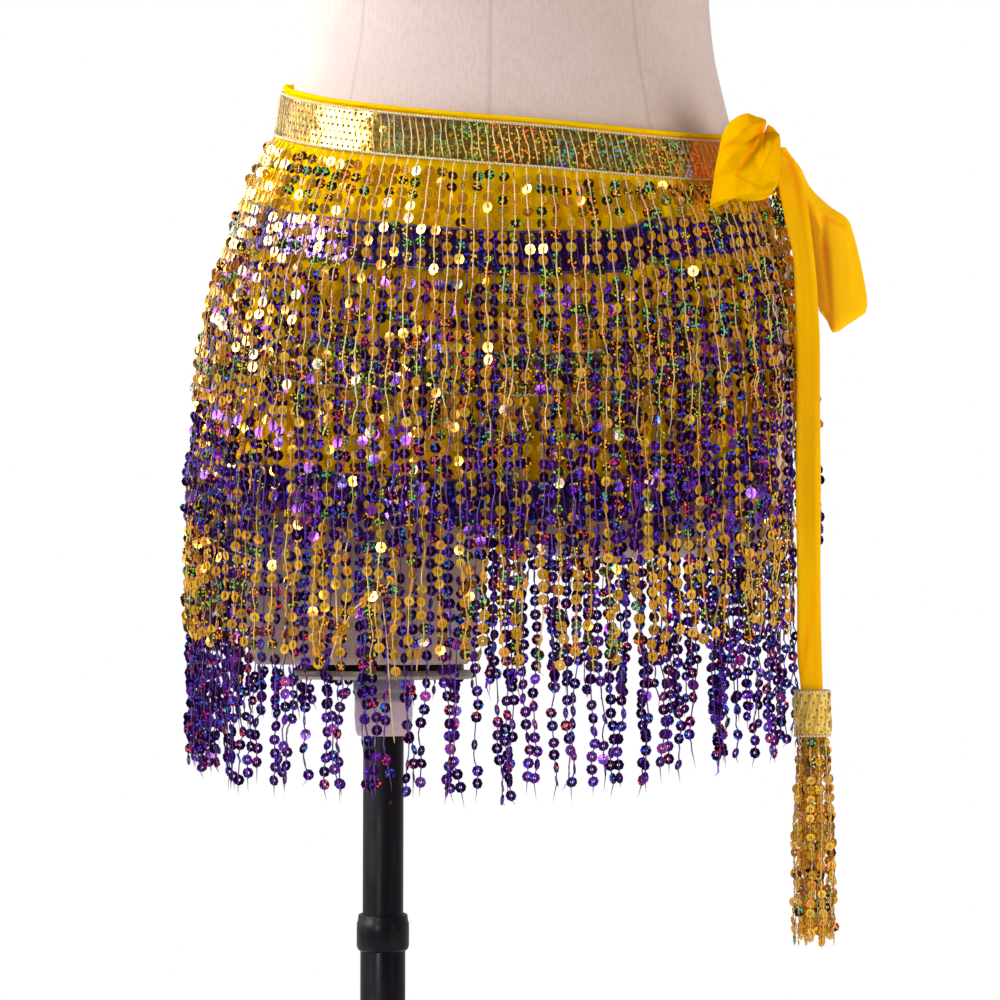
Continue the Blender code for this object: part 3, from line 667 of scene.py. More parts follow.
def steel_finish(name, colour, rough, chips=0.0, metallic=0.9):
    """Painted or bare steel: long fine scratches, cloudy gloss, and rust where the paint is chipped."""
    finish = Finish(name, Metallic=metallic, Specular_IOR_Level=0.16)
    scratches = finish.noise(420.0, 3.0, vector=finish.stretched((1.0, 1.0, 0.04)))
    worn = finish.ranged(scratches, 0.5, 0.72, 0.0, 0.35)
    shade = finish.mix(worn, colour, [part * 2.0 + 0.008 for part in colour])
    spots = finish.noise(95.0, 4.0, 0.65, finish.stretched((1.0, 1.0, 0.6)))
    chip = finish.ranged(spots, 0.70 - 0.10 * chips, 0.73 - 0.10 * chips, 0.0, min(1.0, chips * 2))
    gloss = finish.ranged(finish.noise(30.0, 3.0), 0.3, 0.7, rough - 0.07, rough + 0.09)
    finish.drive("Roughness", finish.plus(gloss, finish.times(chip, 0.35)))
    shade = finish.mix(chip, shade, (0.24, 0.10, 0.045))
    return finish.done(shade, finish.bump(scratches, 0.12, 0.0003))


def socket_finish():
    finish = Finish("socket_plastic", Roughness=0.34, Coat_Weight=0.25)
    level = finish.plus(finish.axes()[2], finish.times(finish.noise(60.0, 2.0), 0.008))
    share = finish.ranged(level, 0.5855, 0.5905)
    colour = finish.mix(share, (0.52, 0.38, 0.44), (0.18, 0.145, 0.20))
    grime = finish.noise(180.0, 3.0)
    colour = finish.mix(finish.ranged(grime, 0.55, 0.8, 0.0, 0.4), colour, (0.22, 0.18, 0.16))
    return finish.done(colour, finish.bump(grime, 0.15, 0.0004))


def floor_finish():
    finish = Finish("pale_floor", Roughness=0.6)
    greys = [(at, (grey, grey, grey)) for at, grey in ((0.3, 0.80), (0.7, 0.84))]
    finish.drive("Base Color", finish.ramp(finish.noise(3.0, 3.0), *greys))
    return finish.material


# One yellow cloth in copies tuned to the light on each piece: the panel's yellower tones are painted
# light that the sequins throw on it, and its lower part holds painted shade; the bow's tones are more
# orange; the tie and the side loop give off painted light.
PANEL_YELLOW_PAINTED_LIGHT = yellow_cloth_finish("yellow_cloth", (1.0, 0.65, 0.0), (0.95, 0.55, 0.0), 0.45)
BOW_YELLOW = yellow_cloth_finish("bow_cloth", (0.97, 0.53, 0.0), (0.91, 0.44, 0.0))
TIE_YELLOW_PAINTED_GLOW = yellow_cloth_finish("tie_cloth_painted_glow", (1.0, 0.55, 0.0), (0.95, 0.46, 0.0), painted_glow=0.07)
SIDE_YELLOW_PAINTED_GLOW = yellow_cloth_finish("side_loop_cloth_painted_glow", (1.0, 0.57, 0.0), (0.96, 0.49, 0.0), painted_glow=0.15)
FORM_CLOTH = form_cloth_finish("form_cloth", (0.80, 0.66, 0.61), (0.74, 0.59, 0.54))
# painted shade: the stumps get a darker, warmer copy of the form's cloth, standing for the fringe's
# shadow and the warm light that the gold sequins throw on them
STUMP_CLOTH_PAINTED_SHADE = form_cloth_finish("stump_cloth_painted_shade", (0.42, 0.29, 0.245), (0.37, 0.25, 0.21))
SEQUINS = {"gold": gold_sequin_finish(), "purple": purple_sequin_finish()}
LOW_FINISH = gold_sequin_finish("low_gold_sequins", 1.6)
TAPE_FINISH = {
    "gold": gold_tape_finish("gold_tape", GOLD_TONES, 1.0, 0.7, (0.045, 0.016, 0.002)),
    "purple": purple_tape_finish(),
}
CUFF_FINISH = gold_tape_finish("cuff_tape", CUFF_TONES, 0.20, 0.1, (0.42, 0.24, 0.05))
LOW_THREAD = thread_finish("gold_thread", (1.0, 0.70, 0.22), (0.60, 0.27, 0.04))
THREADS = {
    "gold": thread_finish("cream_thread", (1.0, 0.80, 0.38), (0.60, 0.31, 0.07)),
    "purple": thread_finish("violet_thread", (0.15, 0.028, 0.38), (0.05, 0.010, 0.13)),
}
BRAIDS = {
    "gold": braid_finish("cream_braid", (0.95, 0.80, 0.52), (0.42, 0.28, 0.12)),
    "purple": braid_finish("violet_braid", (0.13, 0.035, 0.36), (0.03, 0.01, 0.09)),
}
# --- camera, light and floor ------------------------------------------------------------------------


CAMERA_PLACE = (0.0696, -1.4, 0.62)
CAMERA_TILT = 3.43  # degrees upwards
LENS, SENSOR = 84.0, 36.0  # millimetres
FLOOR_RADIUS = 2.2


def add_softbox(name, place_at, target, width, height, watts, seen_in, colour=(1.0, 1.0, 1.0)):
    """A rectangular light that lights matt surfaces, or one that is only seen in glossy ones."""
    data = bpy.data.lights.new(name, "AREA")
    data.shape = "RECTANGLE"
    data.size, data.size_y = width, height
    data.energy = watts
    data.color = colour
    light = add_object(name, data)
    light.location = place_at
    light.visible_glossy = seen_in != "matt"
    light.visible_diffuse = seen_in != "glossy"
    aim = Vector(target) - light.location
    light.rotation_euler = aim.to_track_quat("-Z", "Y").to_euler()


def set_up_camera():
    data = bpy.data.cameras.new("camera")
    data.lens, data.sensor_width = LENS, SENSOR
    camera = add_object("camera", data)
    camera.location = CAMERA_PLACE
    camera.rotation_euler = (math.radians(90 + CAMERA_TILT), 0.0, 0.0)
    bpy.context.scene.camera = camera


def set_up_light():
    """A white room, darker towards the viewer, with a large softbox at the left."""
    world = bpy.data.worlds.new("studio")
    world.use_nodes = True
    bpy.context.scene.world = world
    nodes = world.node_tree.nodes
    room = nodes["Background"]
    direction, split, depth, backdrop, seen, choose = (
        nodes.new("ShaderNode" + kind)
        for kind in ("TexCoord", "SeparateXYZ", "MapRange", "Background", "LightPath", "MixShader")
    )
    for background in (room, backdrop):
        background.inputs[0].default_value = (1.0, 1.0, 1.0, 1.0)
    for index, value in enumerate((-1.0, 1.0, 0.10, 0.62), start=1):
        depth.inputs[index].default_value = value
    for output, socket in (
        (direction.outputs["Generated"], split.inputs[0]),
        (split.outputs[1], depth.inputs[0]),
        (depth.outputs[0], room.inputs[1]),
        (seen.outputs["Is Camera Ray"], choose.inputs[0]),
        (room.outputs[0], choose.inputs[1]),
        (backdrop.outputs[0], choose.inputs[2]),
        (choose.outputs[0], nodes["World Output"].inputs[0]),
    ):
        world.node_tree.links.new(output, socket)
    middle = (FORM_X, 0.0, 0.80)
    add_softbox("key_softbox", (-1.42, -0.32, 1.62), middle, 1.0, 1.3, 42.0, "matt")
    add_softbox("key_glint", (-1.36, -0.55, 1.50), middle, 0.90, 0.80, 78.0, "glossy")
    low = (FORM_X, 0.0, 0.66)
    add_softbox("front_glint", (-0.58, -1.42, 0.86), low, 0.22, 0.22, 5.2, "glossy")
    add_softbox("side_glint", (-1.55, 0.60, 1.35), middle, 1.1, 1.2, 12.0, "glossy")
    add_softbox("right_fill", (1.6, -1.35, 1.5), middle, 0.9, 0.9, 3.5, "matt")
    add_softbox("right_bounce", (1.45, -1.1, 0.25), middle, 0.7, 1.2, 23.0, "matt", (1.0, 0.93, 0.86))
    bpy.context.scene.view_settings.view_transform = "Standard"


def lay_floor():
    deselect_all()
    bpy.ops.mesh.primitive_circle_add(vertices=128, radius=FLOOR_RADIUS, fill_type="NGON")
    floor = bpy.context.object
    floor.name = "floor"
    floor.data.materials.append(floor_finish())


# --- turned pieces of the stand ---------------------------------------------------------------------


def turned(name, profile, material, sides=96, x=0.0, bored=False, bevel=0.0004):
    """A ring drawn out through a profile of (radius, height) pairs, capped, or bored right through."""
    deselect_all()
    radius, height = profile[0]
    bpy.ops.mesh.primitive_circle_add(vertices=sides, radius=radius, location=(x, 0.0, height))
    piece = bpy.context.object
    piece.name = piece.data.name = name
    bpy.ops.object.transform_apply(location=True, rotation=False, scale=False)
    edit_all(piece)
    if not bored:
        bpy.ops.mesh.edge_face_add()
    for next_radius, next_height in profile[1:] + (profile[:1] if bored else ()):
        bpy.ops.mesh.extrude_edges_move()
        share = next_radius / radius
        bpy.ops.transform.resize(value=(share, share, 1.0), center_override=(x, 0.0, height))
        bpy.ops.transform.translate(value=(0.0, 0.0, next_height - height))
        radius, height = next_radius, next_height
    if not bored:
        bpy.ops.mesh.edge_face_add()
    bpy.ops.mesh.select_all(action="SELECT")
    bpy.ops.mesh.remove_doubles(threshold=0.00002)
    bpy.ops.mesh.normals_make_consistent(inside=False)
    leave_edit()
    if bevel:
        soften_edges(piece, bevel, 2, 28)
    bpy.ops.object.shade_smooth_by_angle(angle=math.radians(35))
    piece.data.materials.append(material)
    return piece


def near(radius, height, *steps):
    """Points of a profile, as steps from one radius and height."""
    return tuple((radius + wider, height + higher) for wider, higher in steps)


def build_stand():
    black = steel_finish("black_steel", (0.006, 0.005, 0.009), 0.34, metallic=0.15)
    chipped = steel_finish("chipped_black_steel", (0.007, 0.006, 0.009), 0.36, 0.45, 0.15)
    bare = steel_finish("plate_steel", (0.36, 0.30, 0.25), 0.36)
    foot = HUB_HEIGHT + CLEAR
    under_lip = OUTER_POLE_TOP + CLEAR
    under_plate = PLATE_BOTTOM - CLEAR
    neck_foot = TORSO[-1][0] + CLEAR

    def part(name, node, material, profile, slot="black_steel", **settings):
        piece = turned(name, profile, material, **settings)
        place(piece, node, body=name.split("_")[0])

    profile = near(HUB_RADIUS, HUB_HEIGHT, (-0.0020, 0), (0, -0.0020))
    profile += near(HUB_RADIUS, BASE_THICKNESS, (0, 0.0015), (0.0015, 0))
    profile += near(BASE_RADIUS, BASE_THICKNESS, (-0.0030, 0), (-0.0010, -0.0010), (0, -0.0030))
    profile += near(BASE_RADIUS, 0.0, (0, 0.0004), (-0.0004, 0))
    part("stand_base", "base", black, profile, sides=160)

    profile = ((OUTER_POLE_RADIUS, OUTER_POLE_TOP), (OUTER_POLE_RADIUS, foot))
    profile += ((BORE_RADIUS, foot), (BORE_RADIUS, OUTER_POLE_TOP))
    part("stand_sleeve", "outer_pole", black, profile, bored=True)

    lip = (-0.0018, 0), (-0.0010, -0.0006), (-0.0006, -0.0042), (-0.0001, -0.0052), (0, -0.0100)
    profile = near(COLLAR_RADIUS, COLLAR_TOP, *lip)
    profile += near(COLLAR_RADIUS, COLLAR_BOTTOM, (0, 0.0030), (-0.0006, 0.0010), (-0.0016, 0))
    profile += near(OUTER_POLE_RADIUS + CLEAR, 0.0, (0, COLLAR_BOTTOM), (0, under_lip))
    profile += near(BORE_RADIUS, 0.0, (0, under_lip), (0, COLLAR_TOP))
    part("stand_collar", "collar", chipped, profile, bored=True)

    profile = ((INNER_POLE_RADIUS, under_plate),)
    profile += near(INNER_POLE_RADIUS, INNER_POLE_FOOT, (0, 0.0010), (-0.0010, 0))
    part("figure_pole", "inner_pole", chipped, profile)

    waist = (-0.0003, 0.5900), (-0.0012, 0.5890), (-0.0010, 0.5750), (-0.0018, 0.5660)
    profile = near(SOCKET_RADIUS, 0.0, (0, under_plate), *waist, (-0.0030, SOCKET_BOTTOM))
    profile += near(INNER_POLE_RADIUS + CLEAR, 0.0, (0, SOCKET_BOTTOM), (0, under_plate))
    part("figure_socket", "pole_socket", socket_finish(), profile, "socket_plastic", bored=True)

    profile = near(PLATE_RADIUS, PLATE_TOP, (-0.0004, 0), (0, -0.0006))
    profile += near(PLATE_RADIUS, PLATE_BOTTOM, (0, 0.0016), (-0.0016, 0))
    part("figure_plate", "stump_plate", bare, profile, "plate_steel", sides=128)

    profile = near(SPACER_RADIUS, 0.0, (0, THIGH[0][0] - CLEAR), (0, PLATE_TOP))
    part("figure_spacer", "stump_plate", black, profile, sides=128)

    lip = (-0.0060, 0), (-0.0025, -0.0010), (-0.0004, -0.0035), (0, -0.0060)
    profile = near(NECK_CAP_RADIUS, neck_foot + NECK_CAP_HEIGHT, *lip)
    profile += near(NECK_CAP_RADIUS, neck_foot, (0, 0.0010), (-0.0010, 0))
    part("figure_neck_cap", "neck_cap", black, profile, x=FORM_X)


# --- the form ---------------------------------------------------------------------------------------


def section(angle, half_width, front, back, roundness=2.0):
    """Points of superellipse sections. Angle 0 is at +X, 90 degrees in front, 180 at -X."""
    across, along = np.cos(angle), np.sin(angle)
    x = half_width * np.sign(across) * np.abs(across) ** (2 / roundness)
    depth = np.where(along > 0, front, back)
    return x, -depth * np.sign(along) * np.abs(along) ** (2 / roundness)


def seam_columns():
    """Angles round the torso, with close ones beside each seam, and how deep in a seam each is."""
    plain = np.radians(np.arange(0.0, 360.0, 3.0))
    away = np.abs((plain[:, None] - SEAM_ANGLES + math.pi) % math.tau - math.pi).min(axis=1)
    angles = [(angle % math.tau, 0.0) for angle in plain[away > SEAM_CLEAR]]
    for seam in SEAM_ANGLES:
        angles += [((seam + math.radians(aside)) % math.tau, depth) for aside, depth in SEAM_PROFILE]
    return np.array(sorted(angles)).T


def form_part(name, middle, heights, outline, finish, seam, rounding):
    """A closed shell through level outlines, listed from the bottom up."""
    x, y = outline
    points = np.stack([middle + x, y, np.broadcast_to(heights, x.shape)], axis=2)[::-1]
    faces = grid_faces(*x.shape, closed=True)[:, ::-1]
    part = mesh_piece(name, points, faces, finish, seam=np.broadcast_to(seam, x.shape))
    close_ends(part, rounding)
    place(part, "dress_form")


def build_form():
    angles, seam = seam_columns()
    heights, half_width, front, back = resample(TORSO, 3 * len(TORSO)).T[:, :, None]
    inset = SEAM_DEPTH * seam
    outline = section(angles, half_width - inset, front - inset, back - inset, ROUNDNESS)
    form_part("form_torso", FORM_X, heights, outline, FORM_CLOTH, SEAM_TINT * seam, TORSO_ROUNDING)
    build_stump("form_long_stump", -1, THIGH[0][0])
    build_stump("form_short_stump", 1, SHORT_THIGH_CUT)


def close_ends(piece, rounding):
    """Fills the open rings at a lofted piece's ends, and rounds them a little."""
    edit_all(piece)
    bpy.ops.mesh.select_mode(type="EDGE")
    bpy.ops.mesh.select_non_manifold(extend=False)
    bpy.ops.mesh.edge_face_add()
    bpy.ops.mesh.select_all(action="SELECT")
    bpy.ops.mesh.normals_make_consistent(inside=False)
    bpy.ops.mesh.select_mode(type="VERT")
    leave_edit()
    if rounding:
        soften_edges(piece, rounding, 3, 60)
    bpy.ops.object.shade_smooth_by_angle(angle=math.radians(50))


def build_stump(name, side, cut):
    heights = np.linspace(cut, THIGH[-1][0], 36)[:, None]
    middle, half_width, front, back = (
        np.interp(heights, THIGH[:, 0], THIGH[:, column]) for column in range(1, 5)
    )
    outline = section(np.linspace(0.0, math.tau, 72, endpoint=False), half_width, front, back)
    form_part(name, FORM_X + side * middle, heights, outline, STUMP_CLOTH_PAINTED_SHADE, 0.0, STUMP_ROUNDING)


# --- the surface that the scarf lies on -------------------------------------------------------------

ANGLE_STEP = math.radians(0.5)
DROP_STEP = 0.002
ANGLES = np.arange(math.radians(14.0), math.radians(392.0), ANGLE_STEP)
DROPS = np.arange(0.0, 0.450, DROP_STEP)


def belt_height(angle):
    height = BELT_HEIGHT - BELT_SIDE_TILT * np.cos(angle) - BELT_FRONT_DIP * np.sin(angle)
    return height - np.where(np.sin(angle) > 0, BELT_FRONT_SAG * np.sin(2 * angle) ** 2, 0.0)


def run_share(angle):
    sides = RUN_SIDE * np.cos(angle) + RUN_FRONT * np.sin(angle)
    return RUN_MEAN - sides + RUN_TWICE * np.cos(2 * angle)


def draw_surface():
    """Points and normals of the cloth's outer face, at each of ANGLES and each of DROPS."""
    angles = ANGLES[:, None]
    down = np.arange(0.0, 0.480, 0.003)[None, :]
    heights = belt_height(angles) - down
    level = np.maximum(heights, WIDEST)
    half_width, front, back = (np.interp(level, TORSO[:, 0], TORSO[:, k]) for k in (1, 2, 3))
    room = np.interp(down, ROOM[:, 0], ROOM[:, 1]) * (1 - ROOM_SIDE_SHARE * np.cos(angles))
    room = room - np.interp(down, ROOM[:, 0], ROOM[:, 2]) * np.maximum(0.0, -np.cos(angles))
    room = room + FOLD_DEPTH * smooth_share(down, *FOLD_DROPS) * np.sin(FOLDS * angles) + CLOTH
    x, y = section(angles, half_width + room, front + room, back + room, ROUNDNESS)
    lines = np.stack([FORM_X + x, y, heights], axis=2)
    steps = np.linalg.norm(np.diff(lines, axis=1), axis=2)
    lengths = np.concatenate([np.zeros((len(ANGLES), 1)), np.cumsum(steps, axis=1)], axis=1)
    ride = np.interp(np.degrees(ANGLES), TUCK[:, 0], TUCK[:, 1])[:, None]
    reach = (DROPS - ride * smooth_share(DROPS, *TUCK_DROPS)) * run_share(angles)
    points = np.array(
        [
            [np.interp(reach[i], lengths[i], lines[i, :, k]) for k in range(3)]
            for i in range(len(ANGLES))
        ]
    ).transpose(0, 2, 1)
    out = np.cross(np.gradient(points, axis=0), np.gradient(points, axis=1))
    return points, unit(out)


SURFACE, NORMALS = draw_surface()


def widest_ring_lengths():
    """Length round the hips up to each of ANGLES, where strands and tapes are spaced out evenly."""
    widest = TORSO[TORSO[:, 0] == WIDEST][0]
    return running_length(np.stack(section(ANGLES, *widest[1:], ROUNDNESS), axis=1))


RING = widest_ring_lengths()


def on_cloth(ring, drop, offset=0.0):
    """Points offset outside the cloth, and the normals there, at lengths round the hips and drops."""
    ring, drop, offset = np.broadcast_arrays(np.asarray(ring, float), drop, offset)
    u = (np.interp(ring, RING, ANGLES) - ANGLES[0]) / ANGLE_STEP
    v = np.clip(drop / DROP_STEP, 0.0, len(DROPS) - 1.001)
    i, j = np.minimum(u.astype(int), len(ANGLES) - 2), v.astype(int)
    s, t = (u - i)[..., None], (v - j)[..., None]

    def read(grid):
        upper = grid[i, j] * (1 - s) + grid[i + 1, j] * s
        lower = grid[i, j + 1] * (1 - s) + grid[i + 1, j + 1] * s
        return upper * (1 - t) + lower * t

    normals = unit(read(NORMALS))
    return read(SURFACE) + offset[..., None] * normals, normals


def panel_ends(drop):
    """Lengths round the hips at the front and back edges of the panel at a drop."""
    share = np.minimum(1.0, np.asarray(drop) / PANEL_LENGTH)
    return [
        np.interp(np.radians(top + (hem - top) * share), ANGLES, RING)
        for top, hem in (OPEN_FRONT_EDGE, OPEN_BACK_EDGE)
    ]


def row_offset(row, drop):
    """How far outside the cloth a row's strands lie at each drop: a layer more at each lower tape."""
    offset = np.full(np.shape(drop), CLEAR)
    for lower in range(row + 1, len(TAPES)):
        above = TAPES[lower - 1][1] + TAPE_WIDTH
        ready = TAPES[lower][1] - 0.002
        offset = offset + LAYER * np.clip((drop - above) / (ready - above), 0.0, 1.0)
    return offset


# --- the cloth panel --------------------------------------------------------------------------------

# Soft creases of the panel, as shares of the way round, top drop, bottom drop, lean, depth and width.
PANEL_CREASES = (
    (0.030, 0.020, 0.200, -0.020, 0.0010, 0.0040),
    (0.075, 0.030, 0.120, 0.012, 0.0009, 0.0030),
    (0.118, 0.028, 0.075, -0.008, 0.0010, 0.0036),
    (0.150, 0.095, 0.220, 0.010, 0.0009, 0.0045),
    (0.196, 0.028, 0.110, 0.006, 0.0011, 0.0030),
    (0.238, 0.030, 0.085, -0.012, 0.0010, 0.0042),
    (0.262, 0.100, 0.235, 0.008, 0.0010, 0.0038),
    (0.300, 0.026, 0.130, 0.014, 0.0011, 0.0034),
    (0.345, 0.030, 0.070, -0.006, 0.0009, 0.0028),
    (0.372, 0.110, 0.240, -0.010, 0.0011, 0.0046),
    (0.418, 0.028, 0.140, 0.008, 0.0010, 0.0036),
    (0.470, 0.030, 0.100, -0.010, 0.0009, 0.0040),
    (0.512, 0.090, 0.238, 0.012, 0.0011, 0.0042),
    (0.560, 0.026, 0.120, 0.010, 0.0010, 0.0032),
    (0.604, 0.030, 0.080, -0.008, 0.0009, 0.0036),
    (0.650, 0.100, 0.236, 0.006, 0.0010, 0.0044),
    (0.694, 0.028, 0.150, -0.012, 0.0011, 0.0036),
    (0.742, 0.030, 0.095, 0.010, 0.0009, 0.0032),
    (0.786, 0.105, 0.240, -0.008, 0.0010, 0.0046),
    (0.826, 0.028, 0.125, 0.012, 0.0011, 0.0034),
    (0.872, 0.030, 0.085, -0.010, 0.0009, 0.0040),
    (0.914, 0.090, 0.230, 0.008, 0.0010, 0.0042),
    (0.958, 0.028, 0.180, -0.014, 0.0011, 0.0036),
)


def panel_relief(ring, drop, start, end):
    relief = np.zeros(ring.shape)
    for share, top, bottom, lean, depth, width in PANEL_CREASES:
        along = np.clip((drop - top) / (bottom - top), 0.0, 1.0)
        line = start + share * (end - start) + lean * along
        fade = np.sin(math.pi * along) ** 0.7 * ((drop > top) & (drop < bottom))
        aside = (ring - line) / width
        relief -= depth * fade * np.exp(-(aside**2))
        relief += 0.3 * depth * fade * np.exp(-((aside - 1.8) ** 2))
    return relief


def build_panel():
    drop = np.linspace(0.0, PANEL_LENGTH, PANEL_GRID[0])[:, None]
    start, end = panel_ends(drop)
    ring = start + (end - start) * np.linspace(0.0, 1.0, PANEL_GRID[1])
    drop = np.broadcast_to(drop, ring.shape)
    points, _ = on_cloth(ring, drop, panel_relief(ring, drop, start, end))
    sheet = mesh_piece("hip_wrap", points[::-1], grid_faces(*PANEL_GRID), PANEL_YELLOW_PAINTED_LIGHT)
    panel = place(thicken(sheet, CLOTH), "wrap_panel")
    edges = []
    for side, kind in (("top", "roll"), ("front", "hem"), ("back", "hem"), ("bottom", "hem")):
        radius = ROLL_RADIUS if kind == "roll" else HEM_RADIUS
        tubed = mesh_piece(f"hip_wrap_{side}_{kind}", *tube(*edge_line(side), radius, 10), PANEL_YELLOW_PAINTED_LIGHT)
        edges.append(place(fill_ends(tubed), "wrap_panel"))
    return panel, edges


def edge_line(side):
    """Points and normals along one edge of the panel."""
    if side in ("top", "bottom"):
        level = 0.0012 if side == "top" else PANEL_LENGTH - 0.0004
        start, end = panel_ends(level)
        ring = np.linspace(start, end, 300)
        return on_cloth(ring, np.full(ring.shape, level), -0.0002)
    drop = np.linspace(0.002, PANEL_LENGTH - 0.001, 90)
    return on_cloth(panel_ends(drop)[0 if side == "front" else 1], drop, -0.0005)


def tube(path, outs, radius, sides):
    """Points and faces of a tube along a path, with its ends drawn in to a point."""
    along = unit(np.gradient(path, axis=0))
    aside = unit(np.cross(along, outs))
    outs = np.cross(aside, along)
    turns = np.linspace(0.0, math.tau, sides, endpoint=False)[None, :, None]
    reach = np.full(len(path), radius)
    reach[[0, -1]] *= 0.05
    ring = np.cos(turns) * aside[:, None] + np.sin(turns) * outs[:, None]
    points = path[:, None] + reach[:, None, None] * ring
    return points.reshape(-1, 3), grid_faces(len(path), sides, closed=True)


def tube_uv(path, sides):
    """Millimetres along the path, and turns round it."""
    u = np.repeat(running_length(path)[:, None] * 1000, sides, axis=1)
    v = np.broadcast_to(np.arange(sides) / sides, u.shape)
    return np.stack([u, v], axis=2).reshape(-1, 2)


# --- sequins, tapes and strands ---------------------------------------------------------------------


def read_model(piece, sides):
    """Points and faces of a modelled piece, which is then taken away."""
    mesh = piece.data
    points = np.array([vertex.co for vertex in mesh.vertices])
    faces = np.array([face.vertices for face in mesh.polygons if len(face.vertices) == sides])
    bpy.data.objects.remove(piece)
    bpy.data.meshes.remove(mesh)
    return points, faces


def model_sequin():
    """A cupped disc with a hole, modelled face up."""
    hole = near(HOLE_RADIUS, -SEQUIN_CUP, (0, 0), (0, -SEQUIN_WALL))
    profile = ((SEQUIN_RADIUS, 0.0), *hole)
    return read_model(turned("sequin", profile, PANEL_YELLOW_PAINTED_LIGHT, sides=8, bored=True, bevel=0.0), 4)


def model_tape_sequin():
    """A low cone: the flat sequins of the tapes overlap, so only their faces show."""
    deselect_all()
    bpy.ops.mesh.primitive_cone_add(vertices=8, radius1=TAPE_SEQUIN_RADIUS, depth=0.00006)
    cone = bpy.context.object
    edit_all(cone)
    bpy.ops.mesh.quads_convert_to_tris(quad_method="BEAUTY", ngon_method="BEAUTY")
    leave_edit()
    return read_model(cone, 3)


def with_rim(model, how_near):
    """A sequin's points and faces, and a number that says how near its rim each point is."""
    points, faces = model
    return points, faces, how_near(np.hypot(points[:, 0], points[:, 1]))


SEQUIN = with_rim(model_sequin(), lambda reach: (reach > SEQUIN_RADIUS / 2).astype(float))
TAPE_SEQUIN = with_rim(model_tape_sequin(), lambda reach: reach / TAPE_SEQUIN_RADIUS)


def tilted(ups, outs, yaw, pitch):
    """Axes of sequins: up along the thread and out from the cloth, turned about the thread, then
    tipped. The result is (count, 3 axes, 3)."""
    ups = unit(ups)
    asides = unit(np.cross(ups, outs))
    outs = np.cross(asides, ups)
    yaw, pitch = yaw[:, None], pitch[:, None]
    turned_out = np.cos(yaw) * outs + np.sin(yaw) * asides
    turned_aside = np.cos(yaw) * asides - np.sin(yaw) * outs
    tipped_up = np.cos(pitch) * ups + np.sin(pitch) * turned_out
    tipped_out = np.cos(pitch) * turned_out - np.sin(pitch) * ups
    return np.stack([turned_aside, tipped_up, tipped_out], axis=1)


def copies(points, faces, middles, axes):
    """One mesh of many copies of a small model."""
    placed = middles[:, None] + np.einsum("vk,nkd->nvd", points, axes)
    shift = (np.arange(len(middles)) * len(points))[:, None, None]
    return placed.reshape(-1, 3), (faces[None] + shift).reshape(-1, faces.shape[1])


def joined(parts):
    """One mesh of several (points, faces) pairs."""
    count, all_points, all_faces = 0, [], []
    for points, faces in parts:
        all_points.append(points)
        all_faces.append(faces + count)
        count += len(points)
    return np.concatenate(all_points), np.concatenate(all_faces)


def sequin_piece(name, middles, axes, tints, finish, model=SEQUIN):
    """Many copies of a sequin, each with its own tint."""
    points, faces, rim = model
    placed, faces = copies(points, faces, middles, axes)
    tint = np.repeat(tints, len(points))
    rim = np.tile(rim, len(middles))
    return mesh_piece(name, placed, faces, finish, smooth=False, tint=tint, rim=rim)


def tape_sequins(place_at, length, width, rng, name, finish):
    """Staggered rows of flat sequins over a tape, each lapping the one below."""
    count = int(length / TAPE_SEQUIN_PITCH)
    step = (width - 2 * TAPE_SEQUIN_RADIUS) / (TAPE_SEQUIN_ROWS - 1)
    middles, ups, outs = [], [], []
    for row in range(TAPE_SEQUIN_ROWS):
        along = (np.arange(count) + 0.5 * (row % 2) + 0.3) * TAPE_SEQUIN_PITCH
        along = along + rng.normal(0.0, 0.0002, count)
        down = np.full(count, TAPE_SEQUIN_RADIUS + row * step)
        middle, out = place_at(along, down, TAPE_SEQUIN_LIFT)
        above, _ = place_at(along, down - 0.002, TAPE_SEQUIN_LIFT)
        middles.append(middle)
        ups.append(above - middle)
        outs.append(out)
    middles, ups, outs = (np.concatenate(group) for group in (middles, ups, outs))
    yaw = rng.normal(0.0, 0.035, len(middles))
    axes = tilted(ups, outs, yaw, rng.normal(0.05, 0.03, len(middles)))
    return sequin_piece(name, middles, axes, rng.random(len(middles)), finish, TAPE_SEQUIN)


def tape_threads(place_at, length, width, rng):
    """Wavy threads across a tape, which hold its sequins down."""
    parts = []
    down = np.linspace(0.0008, width - 0.0008, 7)
    for start in np.arange(0.001, length - 0.001, TAPE_THREAD_PITCH):
        lean = 0.0046 * (0.5 - down / width) + 0.0005 * np.sin(down / width * 7 + rng.uniform(0, 6))
        along = start + lean + rng.normal(0.0, 0.00018, len(down)) + rng.normal(0.0, 0.0003)
        path, outs = place_at(np.clip(along, 0.0, length), down, TAPE_THREAD_LIFT)
        parts.append(tube(path, outs, THREAD_RADIUS * 0.72, 4))
    return joined(parts)


def tape_braids(place_at, length, width):
    parts, uvs = [], []
    along = np.linspace(0.0, length, max(24, int(length / 0.004)))
    for level in (BRAID_INSET, width - BRAID_INSET):
        path, outs = place_at(along, np.full(along.shape, level), BRAID_LIFT)
        parts.append(tube(path, outs, BRAID_RADIUS, 6))
        uvs.append(tube_uv(path, 6))
    return *joined(parts), np.concatenate(uvs)


def tape_ground(place_at, length, width):
    rows, columns = 4, max(20, int(length / 0.006))
    along, down = np.meshgrid(np.linspace(0.0, length, columns), np.linspace(0.0, width, rows))
    points, _ = place_at(along, down, BACKING_LIFT)
    return points, grid_faces(rows, columns)


